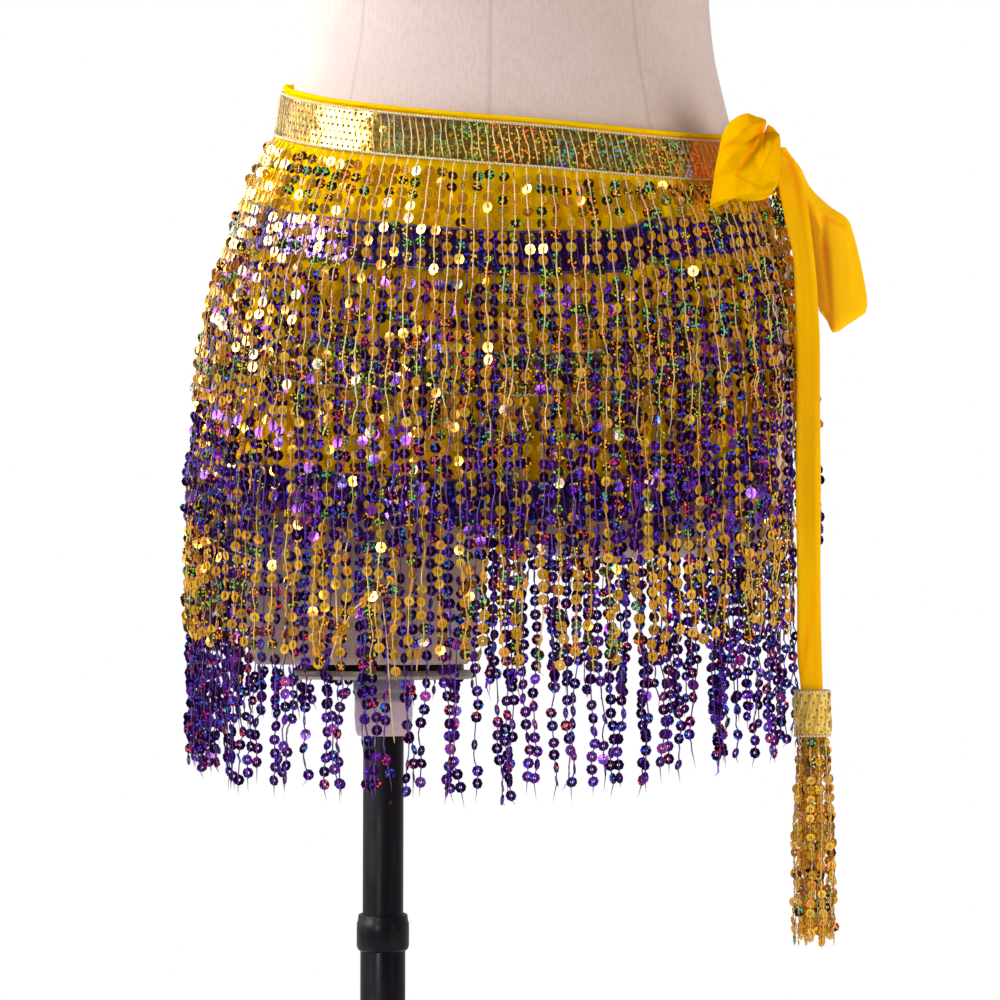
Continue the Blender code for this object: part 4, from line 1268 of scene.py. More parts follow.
def dress_tape(place_at, length, width, rng, names, finish, colour, build_ground):
    """The sequins of a tape, their ground, the threads over them and the braids along its edges."""
    sequins = tape_sequins(place_at, length, width, rng, names[0], finish)
    ground = build_ground()
    threads = mesh_piece(names[1], *tape_threads(place_at, length, width, rng), THREADS[colour])
    points, faces, uv = tape_braids(place_at, length, width)
    braids = mesh_piece(names[2], points, faces, BRAIDS[colour], uv=uv)
    return [sequins, ground, fill_ends(threads), fill_ends(braids)]


def build_tape(row):
    name, top, _, colour = TAPES[row]
    rng = np.random.default_rng(SEED + row)
    start, end = panel_ends(top + TAPE_WIDTH / 2)
    length = float(end - start)

    def place_at(along, down, offset):
        return on_cloth(start + along, top + down, CLEAR + offset)

    def build_ground():
        ground = tape_ground(place_at, length, TAPE_WIDTH)
        return thicken(mesh_piece(name + "_backing", *ground, finish, tint=0.2, rim=1.0), 0.0004)

    names = (name + "_tape", name + "_cross_threads", name + "_braids")
    finish = TAPE_FINISH[colour]
    pieces = dress_tape(place_at, length, TAPE_WIDTH, rng, names, finish, colour, build_ground)
    return [place(piece, name) for piece in pieces]


def gather_strands(rings, rng):
    """Neighbouring strands that hang together: the length round the hips that each is drawn to, and its
    place in its group."""
    targets, orders = rings.copy(), np.zeros(len(rings))
    i = 0
    while i < len(rings):
        size = int(rng.choice((1, 2, 2, 3)))
        group = slice(i, min(i + size, len(rings)))
        targets[group] = rings[group].mean() + rng.normal(0.0, 0.0012)
        orders[group] = np.arange(len(rings[group]))
        i += size
    return targets, orders


def strand_line(row, ring, target, order, rng):
    """Lengths round the hips, drops and offsets of one strand's sequins, and where it ends."""
    _, top, length, _ = TAPES[row]
    hem = row == HEM_ROW
    root = top + TAPE_WIDTH
    reach = length + rng.uniform(-0.005, 0.004)
    gaps = np.full(int(reach / SEQUIN_PITCH), SEQUIN_PITCH)
    gaps += rng.normal(0.0, 0.0003, len(gaps))
    loose = rng.random(len(gaps)) < np.linspace(0.0, 0.16 if hem else 0.05, len(gaps))
    gaps[loose] += rng.uniform(0.002, 0.008, loose.sum())
    down = FIRST_SEQUIN + rng.normal(0.0, 0.0006) + np.concatenate([[0.0], np.cumsum(gaps)])
    down = down[down < reach - 0.002]
    share = down / length
    draw = (0.55 if hem else 0.30) * smooth_share(share, 0.25, 1.0)
    lean = rng.normal(0.0, 0.0030 if hem else 0.0022) * share**1.6
    wave = 0.0
    for size, low, high in ((0.0007, 0.040, 0.070), (0.0004, 0.018, 0.030)):
        turns = math.tau * down / rng.uniform(low, high) + rng.uniform(0.0, 6.28)
        wave = wave + size * (0.35 + 1.2 * share) * np.sin(turns)
    rings = ring + (target - ring) * draw + lean + wave
    drops = root + down
    offsets = row_offset(row, drops) + 0.0010 + rng.uniform(-0.0002, 0.0006)
    return rings, drops, offsets + order * 0.0016 * draw, root + reach


def facing(rings, drops):
    """How far sequins at the sides of the hips turn towards the front or the back."""
    _, out = on_cloth(rings, drops)
    side = np.arctan2(-out[:, 0], -out[:, 1])
    return 0.25 * np.sin(2 * side) + 0.45 * np.sin(side) * smooth_share(np.abs(np.sin(side)), 0.80, 1.0)


def strand_roots(row, rng):
    """Where a row's strands are sewn on: evenly, and closer where the two lower rows are dense."""
    level = TAPES[row][1] + TAPE_WIDTH
    start, end = panel_ends(level)
    count = round(float(end - start - 2 * EDGE_MARGIN) / STRAND_PITCH)
    roots = np.linspace(start + EDGE_MARGIN, end - EDGE_MARGIN, count)
    roots = roots + rng.normal(0.0, 0.0005, count)
    if row < FIRST_DENSE_ROW:
        return roots
    _, out = on_cloth(roots, np.full(count, level))
    if row == HEM_ROW:
        close = (out[:, 0] < -0.62) | (out[:, 1] < -0.80) & (np.arange(count) % 5 == 0)
    else:
        close = out[:, 0] < -0.84
    more = roots[close] + STRAND_PITCH / 2
    return np.sort(np.concatenate([roots, more[more < end - EDGE_MARGIN]]))


def strand_pieces(name, strands, finish, thread):
    """The sequins and threads of many strands, each (middles, axes, tints, its thread's tube)."""
    middles, axes, tints, tubes = zip(*strands)
    groups = (np.concatenate(group) for group in (middles, axes, tints))
    sequins = sequin_piece(name + "_sequins", *groups, finish)
    return [sequins, fill_ends(mesh_piece(name + "_threads", *joined(tubes), thread))]


def build_strands(row):
    name, top, _, colour = TAPES[row]
    root = top + TAPE_WIDTH
    hem = row == HEM_ROW
    rng = np.random.default_rng(SEED * 10 + row)
    roots = strand_roots(row, rng)
    strands = []
    for ring, target, order in zip(roots, *gather_strands(roots, rng)):
        rings, drops, offsets, tip = strand_line(row, ring, target, order, rng)
        number = len(rings)
        odd = rng.random(number) < np.linspace(0.10, 0.36 if hem else 0.20, number)
        yaw = np.where(odd, rng.uniform(0.9, 1.5, number) * rng.choice((-1, 1), number), 0.0)
        yaw = np.where(odd, yaw, rng.normal(0.0, 0.26, number) + facing(rings, drops))
        pitch = rng.normal(0.10, 0.11, number)
        stand_off = offsets + 0.7 * SEQUIN_RADIUS * np.abs(np.sin(yaw))
        middle, out = on_cloth(rings, drops, stand_off)
        ups = -unit(np.gradient(middle, axis=0))
        tints = rng.random(number)
        lower = np.where(rng.random(number) < 0.5, THREAD_BEFORE, THREAD_BEHIND)
        upper_point = middle + STITCH * ups + THREAD_BEFORE * out
        lower_point = middle - STITCH * ups + lower[:, None] * out
        path = np.stack([upper_point, lower_point], axis=1).reshape(-1, 3)
        head, head_out = on_cloth(np.full(2, ring), np.array((root - 0.0006, root + 0.003)), offsets[0])
        aside = rng.normal(0.0, 0.0015)
        tail, tail_out = on_cloth(rings[-1] + aside, tip + rng.uniform(0.0, 0.004), offsets[-1])
        path = np.concatenate([head, path, tail[None]])
        path_out = np.concatenate([head_out, np.repeat(out, 2, axis=0), tail_out[None]])
        thread = tube(path, path_out, THREAD_RADIUS, 3)
        strands.append((middle, tilted(ups, out, yaw, pitch), tints, thread))
    low = name == "fringe_gold_low"
    looks = (LOW_FINISH, LOW_THREAD) if low else (SEQUINS[colour], THREADS[colour])
    return [place(piece, name) for piece in strand_pieces(name, strands, *looks)]


# Loose gold strands: node, number of sequins, how far in front of the cloth, and the line in
# millimetres as x and z, with y too where it hangs free of the fringe.
STRAYS = (
    (
        "fringe_gold_low", 6, 0.0052,
        ((-18.4, 621.6), (-11.2, 636.0), (-2.0, 642.5), (6.1, 647.0), (10.5, 654.5)),
    ),
    ("fringe_gold_low", 0, 0.0046, ((5.0, 642.2), (8.0, 618.0), (9.6, 590.0), (12.2, 563.5))),
    (
        "fringe_gold_waist", 16, 0.0,
        (
            (228.5, 886.0, -57.0), (230.4, 868.0, -57.6), (231.8, 848.0, -58.2),
            (233.4, 812.0, -58.4), (234.2, 768.0, -58.0),
        ),
    ),
    (
        "fringe_gold_waist", 15, 0.0,
        (
            (231.5, 884.0, -59.0), (234.9, 866.0, -59.6), (236.6, 846.0, -60.0),
            (237.4, 812.0, -60.0), (237.6, 776.0, -59.6),
        ),
    ),
)


def build_stray(number, node, count, stand_off, line):
    rng = np.random.default_rng(SEED * 100 + number)
    steps = max(26, 2 * count)
    path = resample(line, steps) / 1000
    surface = path[:, 2] if path.shape[1] == 3 else [nearest_on_cloth(x, z) for x, z in path]
    path = np.array([(x, y - stand_off, z) for (x, z), y in zip(path[:, :2], surface)])
    outs = np.tile((0.0, -1.0, 0.0), (steps, 1))
    name = f"{node}_stray_{number}"
    thread = mesh_piece(name, *tube(path, outs, THREAD_RADIUS * 0.8, 4), THREADS["gold"])
    pieces = [fill_ends(thread)]
    if count:
        spots = np.linspace(2, steps - 3, count).astype(int)
        ups = unit(path[spots] - path[spots + 1])
        axes = tilted(ups, outs[spots], rng.normal(0.0, 0.5, count), rng.normal(0.0, 0.2, count))
        middles = path[spots] + THREAD_BEFORE * outs[spots]
        tints = rng.random(count) * 0.60
        pieces.append(sequin_piece(name + "_sequins", middles, axes, tints, SEQUINS["gold"]))
    return [place(piece, node) for piece in pieces]


def nearest_on_cloth(x, z):
    """How far forward the cloth's front lies at x and z."""
    rings = np.linspace(*panel_ends(0.1), 240)
    best = None
    for drop in np.arange(0.16, 0.44, 0.01):
        points, _ = on_cloth(rings, np.full(rings.shape, drop))
        front = points[:, 1] < 0
        gap = np.hypot(points[front, 0] - x, points[front, 2] - z)
        index = gap.argmin()
        if best is None or gap[index] < best[0]:
            best = gap[index], points[front][index, 1]
    return best[1]


# --- the bow ----------------------------------------------------------------------------------------


def shares(rows, columns):
    """Shares of the way across and down a grid."""
    return np.linspace(0.0, 1.0, columns)[None, :], np.linspace(0.0, 1.0, rows)[:, None]


def patch(top, bottom, left, right, rows, columns):
    """Points of a sheet stretched between four edges given in millimetres as (x, z) pairs."""
    top, bottom = (resample(edge, columns)[None] for edge in (top, bottom))
    left, right = (resample(edge, rows)[:, None] for edge in (left, right))
    s, t = (share[..., None] for share in shares(rows, columns))
    corners = (1 - t) * ((1 - s) * top[:, :1] + s * top[:, -1:])
    corners = corners + t * ((1 - s) * bottom[:, :1] + s * bottom[:, -1:])
    return (1 - t) * top + t * bottom + (1 - s) * left + s * right - corners


def relief(table, rows, columns):
    """A smooth relief through a small table of depths in millimetres."""
    return resample(resample(table, rows).T, columns).T


def crease(plane, lines):
    """Troughs along lines, each (x, z, x, z, depth, width) in millimetres."""
    depth = np.zeros(plane.shape[:2])
    for x0, z0, x1, z1, deep, width in lines:
        start, run = np.array((x0, z0)), np.array((x1 - x0, z1 - z0))
        share = np.clip(((plane - start) @ run) / (run @ run), 0.0, 1.0)
        aside = np.linalg.norm(plane - start - share[..., None] * run, axis=2)
        depth += deep * np.exp(-((aside / width) ** 2)) * (1 - 0.6 * share)
    return depth


def folded(plane, corners, folds):
    """Depths over a plane that is flat between its corners and creased along its folds."""
    flat = [Vector(corner[:2]) for corner in corners]
    _, _, faces, origins, _, _ = delaunay_2d_cdt(flat, folds, [], 0, 1e-4)
    depth = np.zeros(plane.shape[:2])
    for face in faces:
        a, b, c = (np.array(corners[origins[index][0]], float) for index in face)
        area = np.cross(b[:2] - a[:2], c[:2] - a[:2])
        v = np.cross(plane - a[:2], c[:2] - a[:2]) / area
        w = np.cross(b[:2] - a[:2], plane - a[:2]) / area
        inside = (v > -1e-6) & (w > -1e-6) & (v + w < 1 + 1e-6)
        depth[inside] = (a[2] + v * (b[2] - a[2]) + w * (c[2] - a[2]))[inside]
    around = np.pad(depth, 1, mode="edge")
    beside = around[:-2, 1:-1] + around[2:, 1:-1] + around[1:-1, :-2] + around[1:-1, 2:]
    return (depth * 4 + beside) / 8


def in_place(plane, depth, middle_y):
    """Metres in the object's frame, from millimetres off the figure's middle and a depth."""
    return np.stack(
        [FORM_X + plane[..., 0] / 1000, middle_y - depth / 1000, plane[..., 1] / 1000], axis=2
    )


KNOT = Vector((0.14985, -0.05111, 0.89764))  # measured from the figure's middle
KNOT_SIZE = (0.0130, 0.0130, 0.0150)

LOOP_WALL = 0.0009
LOOP_GRID = (66, 60)  # rows and columns
LOOP_Y = -0.0950
LOOP_TOP = (
    (125.9, 912.6), (130.7, 915.5), (135.2, 916.6), (140.2, 914.6), (145.6, 912.6),
    (145.0, 906.6), (147.2, 909.6), (150.9, 908.0), (153.6, 904.8),
)
LOOP_BOTTOM = (
    (113.6, 861.9), (119.3, 863.7), (125.8, 865.5), (131.7, 866.0), (137.4, 866.4),
    (141.4, 866.9), (145.3, 867.9), (148.1, 870.0), (150.6, 873.6),
)
LOOP_LEFT = (
    (125.9, 912.6), (122.4, 907.4), (120.4, 901.7), (118.7, 894.3),
    (116.9, 885.2), (115.5, 876.1), (114.3, 869.3), (113.6, 861.9),
)
LOOP_RIGHT = (
    (153.6, 904.8), (154.0, 900.5), (153.9, 895.3), (153.6, 889.1),
    (153.3, 882.8), (152.7, 878.8), (152.1, 876.5), (150.6, 873.6),
)
LOOP_DEPTH = (
    (0, 2, 3, 3, 3, 1, 2, 2, 0),
    (0, 8, 11, 12, 10, 4, 8, 7, 1),
    (1, 10, 13, 13, 10, 8, 11, 10, 2),
    (2, 12, 14, 11, 11, 12, 13, 11, 2),
    (3, 14, 12, 12, 14, 14, 13, 11, 2),
    (3, 14, 15, 15, 15, 15, 14, 11, 2),
    (3, 11, 14, 15.5, 16.5, 17, 16.5, 14, 3),
    (2, 9, 12, 14, 15, 15.5, 15, 12, 3),
)
# painted shade: where the folds of the front loop are painted more orange, as the creases are given
LOOP_PAINTED_SHADES = (
    (142.6, 907.5, 137.3, 896.5, 1.0, 1.3),
    (138.5, 899.0, 127.6, 878.5, 0.9, 0.8),
    (137.3, 896.5, 122.0, 885.8, 0.5, 0.6),
    (119.6, 891.4, 127.6, 879.0, 0.4, 0.6),
    (127.6, 879.0, 146.5, 868.6, 0.6, 0.7),
    (125.9, 903.0, 124.6, 893.0, 0.2, 1.6),
)
LOOP_CREASES = (
    (138.0, 912.0, 131.0, 897.0, 0.7, 2.0),
    (119.5, 884.0, 117.5, 869.0, 0.4, 1.8),
    (151.0, 899.0, 147.0, 882.0, 0.6, 1.8),
    (125.5, 903.0, 121.5, 892.0, 0.5, 2.4),
)
# corners of the loop's flat facets, as x, z and depth; those round the outside lie past its edge
LOOP_CORNERS = (
    (112.4, 862.8, 5), (115.8, 879.2, 3), (118.4, 895.9, 3), (123.3, 911.9, 1),
    (128.4, 915.6, 1), (135.3, 918.0, 2), (143.0, 915.3, 2.5), (146.9, 913.4, 2),
    (145.0, 906.9, -1.0), (148.1, 910.4, 3), (154.9, 907.1, 0), (154.8, 890.0, 1),
    (153.4, 879.4, 3), (149.6, 870.5, 9), (137.7, 867.6, 14), (125.8, 866.0, 12),
    (122.0, 887.4, 11), (128.3, 880.4, 9.5), (135.3, 875.1, 10), (142.2, 872.6, 10.5),
    (144.3, 887.6, 12), (141.4, 880.2, 12), (148.4, 897.1, 9), (133.8, 897.4, 6.5),
    (136.4, 892.7, 6.0), (131.2, 890.3, 10), (142.6, 904.4, 2.5), (129.1, 902.5, 9.5),
    (136.2, 908.2, 9), (142.5, 909.3, 6), (139.5, 899.0, 8.5), (138.6, 901.2, 5.0),
)
LOOP_FOLDS = (
    (8, 23), (23, 16), (26, 24), (24, 17), (16, 17), (17, 18), (18, 19), (19, 13), (8, 31), (25, 30)
)


def build_loop(name, node, sheet, closed, finish, plane, painted_shades):
    """A loop from a sheet whose first columns are its front, with painted shade that makes it more
    orange along the lines given.
    """
    rows, columns = sheet.shape[:2]
    fold = np.zeros((rows, columns))
    fold[:, :plane.shape[1]] = np.clip(crease(plane, painted_shades), 0.0, 1.0)
    loop = mesh_piece(name, sheet, grid_faces(rows, columns, closed=closed), finish, fold=fold)
    return place(thicken(loop, LOOP_WALL), node)


def build_front_loop():
    """The loop in front: a puffed sheet gathered to the knot behind it, open below."""
    plane = patch(LOOP_TOP, LOOP_BOTTOM, LOOP_LEFT, LOOP_RIGHT, *LOOP_GRID)
    depth = 0.3 * relief(LOOP_DEPTH, *LOOP_GRID) - crease(plane, LOOP_CREASES)
    depth += 1.05 * folded(plane, LOOP_CORNERS, LOOP_FOLDS)
    front = in_place(plane, depth, LOOP_Y)
    s, t = shares(*LOOP_GRID)
    swell = np.sin(math.pi * s) ** 0.6 * np.minimum(1.0, (t * 5) ** 0.7)
    behind = in_place(plane, -13.0 * swell - 0.4 * np.sin(9 * s + 4 * t), LOOP_Y)
    pull = np.exp(-(((s - 0.74) / 0.20) ** 2) - ((t - 0.34) / 0.20) ** 2)[..., None]
    neck = np.array((FORM_X + KNOT.x - 0.002, KNOT.y - KNOT_SIZE[1] + 0.002, KNOT.z))
    behind = behind * (1 - 0.93 * pull) + neck * 0.93 * pull
    behind[..., 2] += 0.007 * swell * smooth_share(t, 0.75, 1.0)
    ring = np.concatenate([front, behind[:, -2:0:-1]], axis=1)
    looks = (BOW_YELLOW, plane, LOOP_PAINTED_SHADES)
    return build_loop("bow_front_loop", "bow_loop_front", ring, True, *looks)


SIDE_GRID = (52, 26)  # rows and columns
SIDE_Y = -0.0470
SIDE_TOP = ((158.6, 907.0), (160.9, 908.2), (162.8, 908.0))
SIDE_BOTTOM = ((182.3, 811.5), (186.3, 806.0), (190.3, 798.8), (199.7, 804.2), (208.7, 810.3))
SIDE_LEFT = (
    (158.6, 907.0), (160.7, 894.6), (164.1, 882.8), (169.3, 872.7), (174.0, 865.1),
    (178.0, 856.2), (179.6, 841.5), (180.6, 823.8), (181.7, 815.5), (182.3, 811.5),
)
SIDE_RIGHT = (
    (162.8, 908.0), (171.5, 896.4), (177.4, 884.5), (188.0, 873.6), (198.5, 866.0),
    (202.4, 856.2), (205.9, 841.5), (209.2, 823.8), (209.9, 815.0), (208.7, 810.3),
)
SIDE_DEPTH = (
    (0, 1, 1, 1, 0),
    (0, 3, 4, 3, 0),
    (0, 3, 5, 3, 0),
    (-1, 3, 5, 4, 1),
    (-2, 2, 4, 4.5, 1),
    (-2, 1, 4, 4.5, 1),
    (-2, 1.5, 4.5, 4.5, 1),
    (-2, 2, 4.5, 4, 1),
    (-1, 2, 4, 3.5, 1),
    (-1, 0, 1, 1, 0),
)
SIDE_CREASES = (
    (183.5, 868.0, 188.0, 812.0, 1.6, 1.6),
    (163.0, 900.0, 176.0, 868.0, 1.4, 1.8),
    (166.0, 892.0, 182.0, 858.0, 0.9, 1.4),
    (200.5, 858.0, 203.0, 815.0, 0.6, 2.2),
    (195.0, 864.0, 197.0, 838.0, 0.5, 1.8),
    (186.0, 870.0, 200.0, 862.0, 0.7, 1.6),
)
# painted shade: where the folds of the side loop are painted more orange, as the creases are given
SIDE_PAINTED_SHADES = (
    (174.5, 865.5, 186.5, 865.3, 0.5, 1.2),
    (186.0, 865.3, 198.5, 859.5, 1.0, 1.1),
    (185.8, 864.4, 185.3, 845.0, 0.6, 1.6),
    (185.3, 849.0, 188.6, 802.0, 1.3, 2.1),
    (177.6, 858.0, 183.8, 812.0, 1.0, 1.6),
    (163.5, 900.0, 177.0, 868.0, 0.8, 1.8),
    (176.0, 872.0, 193.0, 868.0, 0.4, 1.4),
    (196.0, 852.0, 199.0, 812.0, 0.2, 1.6),
)


def build_side_loop():
    """The loop at the side: it runs out from the knot, hangs, folds at the bottom and comes back."""
    plane = patch(SIDE_TOP, SIDE_BOTTOM, SIDE_LEFT, SIDE_RIGHT, *SIDE_GRID)
    depth = relief(SIDE_DEPTH, *SIDE_GRID) - crease(plane, SIDE_CREASES)
    front = in_place(plane, depth, SIDE_Y)
    s, t = shares(*SIDE_GRID)
    inner = plane.mean(axis=1, keepdims=True) * 0.04 + plane * 0.96
    gap = 6.5 * np.minimum(1.0, (1 - t) * 9) ** 0.6 * np.minimum(1.0, t * 6)
    gap = gap + 0.4 * np.sin(7 * s + 5 * t)
    sheet = np.concatenate([front, in_place(inner, -gap, SIDE_Y)[:, ::-1]], axis=1)
    looks = (SIDE_YELLOW_PAINTED_GLOW, plane, SIDE_PAINTED_SHADES)
    return build_loop("bow_side_loop", "bow_loop_side", sheet, False, *looks)


# x, y, z of the tie's middle, half its width, and how far it is turned about its length in degrees
FRONT_TIE = (
    (0.1580, -0.0634, 0.9010, 0.0048, -40.0),
    (0.1612, -0.0650, 0.8920, 0.0062, -20.0),
    (0.1641, -0.0665, 0.8791, 0.0073, -6.0),
    (0.1672, -0.0668, 0.8600, 0.0070, 0.0),
    (0.1703, -0.0670, 0.8407, 0.0064, 5.0),
    (0.1717, -0.0670, 0.8150, 0.0066, 4.0),
    (0.1726, -0.0670, 0.7863, 0.0069, 0.0),
    (0.1723, -0.0670, 0.7430, 0.0069, -3.0),
    (0.1721, -0.0670, 0.7000, 0.0070, -2.0),
    (0.1720, -0.0670, 0.6560, 0.0069, 2.0),
    (0.1720, -0.0670, 0.6142, 0.0069, 3.0),
    (0.1728, -0.0670, 0.5985, 0.0066, 0.0),
    (0.1734, -0.0670, 0.5890, 0.0064, 0.0),
)
BACK_TIE = (
    (0.1606, -0.0562, 0.8885, 0.0040, 50.0),
    (0.1655, -0.0570, 0.8760, 0.0050, 20.0),
    (0.1715, -0.0575, 0.8500, 0.0055, 10.0),
    (0.1750, -0.0555, 0.8100, 0.0056, 8.0),
    (0.1752, -0.0505, 0.7700, 0.0056, 0.0),
    (0.1752, -0.0482, 0.7000, 0.0056, -5.0),
    (0.1757, -0.0480, 0.6200, 0.0055, 3.0),
    (0.1764, -0.0480, 0.5890, 0.0052, 0.0),
)
# painted shade: how much more orange a tie is painted along its crease, and where that crease lies
# across the tie, against height
TIE_PAINTED_FOLD_SHADE = np.array((
    (0.580, 0.00, -0.90),
    (0.600, 0.60, -0.75),
    (0.620, 0.75, -0.20),
    (0.640, 0.45, 0.35),
    (0.665, 0.15, 0.55),
    (0.720, 0.12, 0.30),
    (0.800, 0.15, 0.30),
    (0.850, 0.30, 0.40),
    (0.875, 0.75, 0.45),
    (0.905, 0.90, 0.70),
))


TIE_ROWS = 96
TIE_COLUMNS = 28


def tie_section():
    """Across and depth of a tie folded in three, as a closed outline of unit half width."""
    across = -np.cos(np.linspace(0.0, math.pi, TIE_COLUMNS // 2, endpoint=False))
    bulge = (1 - across**2) ** 0.3
    front = 0.16 * bulge - 0.085 * np.exp(-(((across - 0.28) / 0.13) ** 2))
    front += 0.03 * np.sin(5.0 * across)
    back = -0.15 * bulge + 0.05 * np.exp(-(((across - 0.35) / 0.15) ** 2))
    return np.concatenate([across, -across]), np.concatenate([front, back])


def build_tie(name, node, table, seed):
    rng = np.random.default_rng(seed)
    middle_x, middle_y, height, half, turn = resample(table, TIE_ROWS).T[:, :, None]
    across, depth = tie_section()
    turn = np.radians(turn)
    ripple = np.sin(np.linspace(0, 31, TIE_ROWS) + rng.uniform(0, 6))[:, None]
    half = half * (1 + 0.02 * ripple)
    t = np.linspace(0.0, 1.0, TIE_ROWS)[:, None]
    wander = 1 + 0.35 * np.sin(5.3 * t * math.tau / 2 + seed) * np.sin(3 * across)
    local_x, local_y = half * across, -half * depth * wander
    x = middle_x + local_x * np.cos(turn) - local_y * np.sin(turn)
    y = middle_y + local_x * np.sin(turn) + local_y * np.cos(turn)
    z = np.broadcast_to(height, x.shape)
    points = np.stack([FORM_X + x, y, z], axis=2)
    # painted shade: the tie is painted more orange along its crease
    strength, middle = (np.interp(z, TIE_PAINTED_FOLD_SHADE[:, 0], TIE_PAINTED_FOLD_SHADE[:, column]) for column in (1, 2))
    fold = strength * np.exp(-(((across - middle) / 0.22) ** 2))
    tie = mesh_piece(name, points, grid_faces(*x.shape, closed=True), TIE_YELLOW_PAINTED_GLOW, fold=fold)
    close_ends(tie, 0.0)
    return place(tie, node)


def build_knot():
    """A round of cloth drawn tight, with the pleats that run over it."""
    deselect_all()
    bpy.ops.mesh.primitive_uv_sphere_add(segments=48, ring_count=32, radius=1.0)
    knot = bpy.context.object
    knot.name = knot.data.name = "bow_knot_wrap"
    for vertex in knot.data.vertices:
        direction = vertex.co.normalized()
        around = math.atan2(direction.y, direction.x)
        pleat = 0.035 * math.sin(5 * direction.x * 3 + 4 * direction.z + 0.6)
        pleat += 0.020 * math.sin(9 * direction.x * 3 - 3 * direction.z + around)
        size = 0.965 + pleat * (1 - abs(direction.z) ** 3)
        vertex.co = [c * s * size for c, s in zip(direction, KNOT_SIZE)]
        vertex.co += KNOT + Vector((FORM_X, 0.0, 0.0))
    edit_all(knot)
    bpy.ops.mesh.normals_make_consistent(inside=False)
    leave_edit()
    bpy.ops.object.shade_smooth()
    knot.data.materials.append(BOW_YELLOW)
    place(knot, "bow_knot")


# --- the tassels ------------------------------------------------------------------------------------

CUFF_HEIGHT = 0.026
CUFF_HALF = (0.0088, 0.0056)
TASSEL_LENGTH = 0.122
TASSEL_SPREAD = 1.55
TASSEL_PITCH = 0.0053
TASSEL_RINGS = ((0.80, 9, 0.2), (0.36, 4, 0.6))  # share of the cuff's size, strands, first turn
TASSEL_SEQUIN_SHARE = 0.90  # size of a tassel's sequins beside the fringe's
CUFF_COLUMNS = 48


def build_tassel(name, node, foot, seed):
    """A cuff of sequin tape round the end of a tie, with strands hung from inside it."""
    rng = np.random.default_rng(seed)
    middle = np.array((FORM_X + foot[0], foot[1], foot[2] - CUFF_HEIGHT - CLEAR))
    wide, deep = CUFF_HALF
    turns = np.linspace(0.0, math.tau, 361)
    lengths = running_length(np.stack([wide * np.cos(turns), deep * np.sin(turns)], axis=1))
    length = lengths[-1]

    def place_at(along, down, offset):
        turn = np.interp(along, lengths, turns)
        across, back = np.cos(turn), np.sin(turn)
        out = unit(np.stack([across / wide, back / deep], axis=-1))
        out = np.concatenate([out, np.zeros(out.shape[:-1] + (1,))], axis=-1)
        height = CUFF_HEIGHT - np.broadcast_to(down, np.shape(turn))
        at = np.stack([wide * across, deep * back, height], axis=-1) + middle
        return at + np.asarray(offset)[..., None] * out, out

    def build_body():
        along = np.linspace(0.0, length, CUFF_COLUMNS, endpoint=False)
        wall = [place_at(along, np.full(along.shape, level), 0.0)[0] for level in (0.0, CUFF_HEIGHT)]
        faces = grid_faces(2, CUFF_COLUMNS, closed=True)[:, ::-1]
        body = mesh_piece(name + "_cuff_body", np.stack(wall), faces, CUFF_FINISH, tint=0.2, rim=1.0)
        close_ends(body, 0.0)
        return body

    names = (name + "_cuff", name + "_cuff_threads", name + "_cuff_braids")
    pieces = dress_tape(place_at, length, CUFF_HEIGHT, rng, names, CUFF_FINISH, "gold", build_body)
    pieces += strand_pieces(name, tassel_strands(middle, rng), LOW_FINISH, THREADS["gold"])
    return [place(piece, node) for piece in pieces]


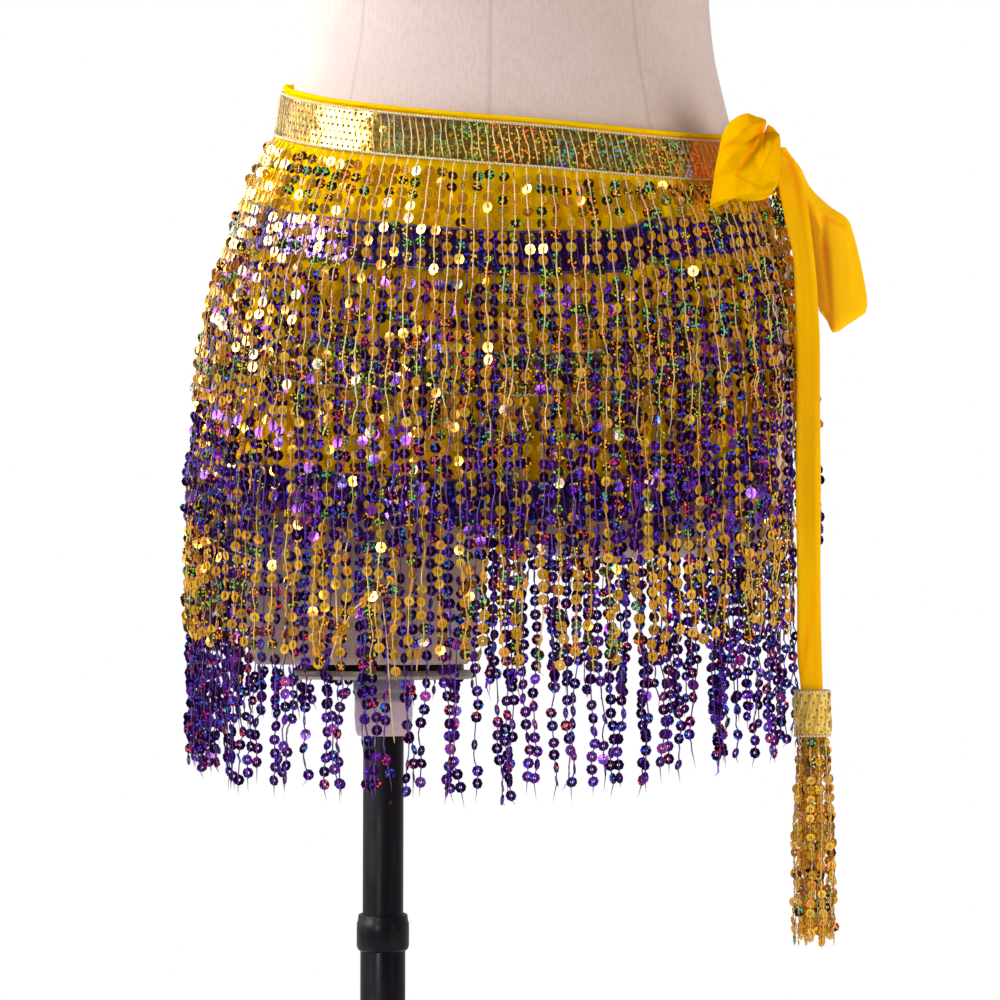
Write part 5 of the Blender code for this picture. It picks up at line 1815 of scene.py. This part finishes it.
def tassel_strands(middle, rng):
    strands = []
    for share, count, start in TASSEL_RINGS:
        for i in range(count):
            turn = start + math.tau * i / count + rng.normal(0.0, 0.12)
            out = np.array((math.cos(turn), math.sin(turn), 0.0))
            top = share * np.array((*CUFF_HALF, 0.0)) * out
            reach = TASSEL_LENGTH - rng.uniform(0.0, 0.010)
            down = np.arange(0.0035, reach - 0.002, TASSEL_PITCH) + rng.normal(0.0, 0.0002)
            part = down / TASSEL_LENGTH
            spread = 1 + (TASSEL_SPREAD - 1) * np.minimum(1.0, part * 2.2) ** 0.7
            sway = 0.0010 * np.sin(math.tau * down / rng.uniform(0.03, 0.06) + rng.uniform(0, 6)) * part
            x = middle[0] + top[0] * spread + sway
            y = middle[1] + top[1] * spread + 0.6 * sway
            line = np.stack([x, y, middle[2] - down], axis=1)
            number = len(line)
            ups = -unit(np.gradient(line, axis=0))
            yaw = rng.normal(0.0, 0.55, number)
            axes = tilted(ups, np.tile(out, (number, 1)), yaw, rng.normal(0.08, 0.15, number))
            drawn = rng.random(number)
            amber = (drawn > 0.38) & (rng.random(number) < 0.6)
            tints = np.where(amber, drawn * 0.38, drawn)
            upper_point = line + 0.0015 * ups + THREAD_BEFORE * out
            path = np.stack([upper_point, line - 0.0015 * ups], axis=1)
            head = middle + top + (0.0, 0.0, 0.001)
            path = np.concatenate([head[None], path.reshape(-1, 3), line[-1:] - (0.0, 0.0, 0.004)])
            thread = tube(path, np.tile(out, (len(path), 1)), THREAD_RADIUS * 0.85, 3)
            strands.append((line, axes * TASSEL_SEQUIN_SHARE, tints, thread))
    return strands


# --- everything put together ------------------------------------------------------------------------

set_up_camera()
set_up_light()
lay_floor()
build_stand()
build_form()
panel, trims = build_panel()
for tape_row in range(len(TAPES)):
    trims += build_tape(tape_row) + build_strands(tape_row)
for stray_number, stray in enumerate(STRAYS):
    trims += build_stray(stray_number, *stray)
build_knot()
front_loop = build_front_loop()
side_loop = build_side_loop()
front_tie = build_tie("bow_front_tie", "tie_front", FRONT_TIE, 3)
back_tie = build_tie("bow_back_tie", "tie_back", BACK_TIE, 5)
front_tassel = build_tassel("bow_front_tassel", "tassel_front", (0.1732, -0.0670, 0.5915), 11)
back_tassel = build_tassel("bow_back_tassel", "tassel_back", (0.1764, -0.0480, 0.5915), 13)
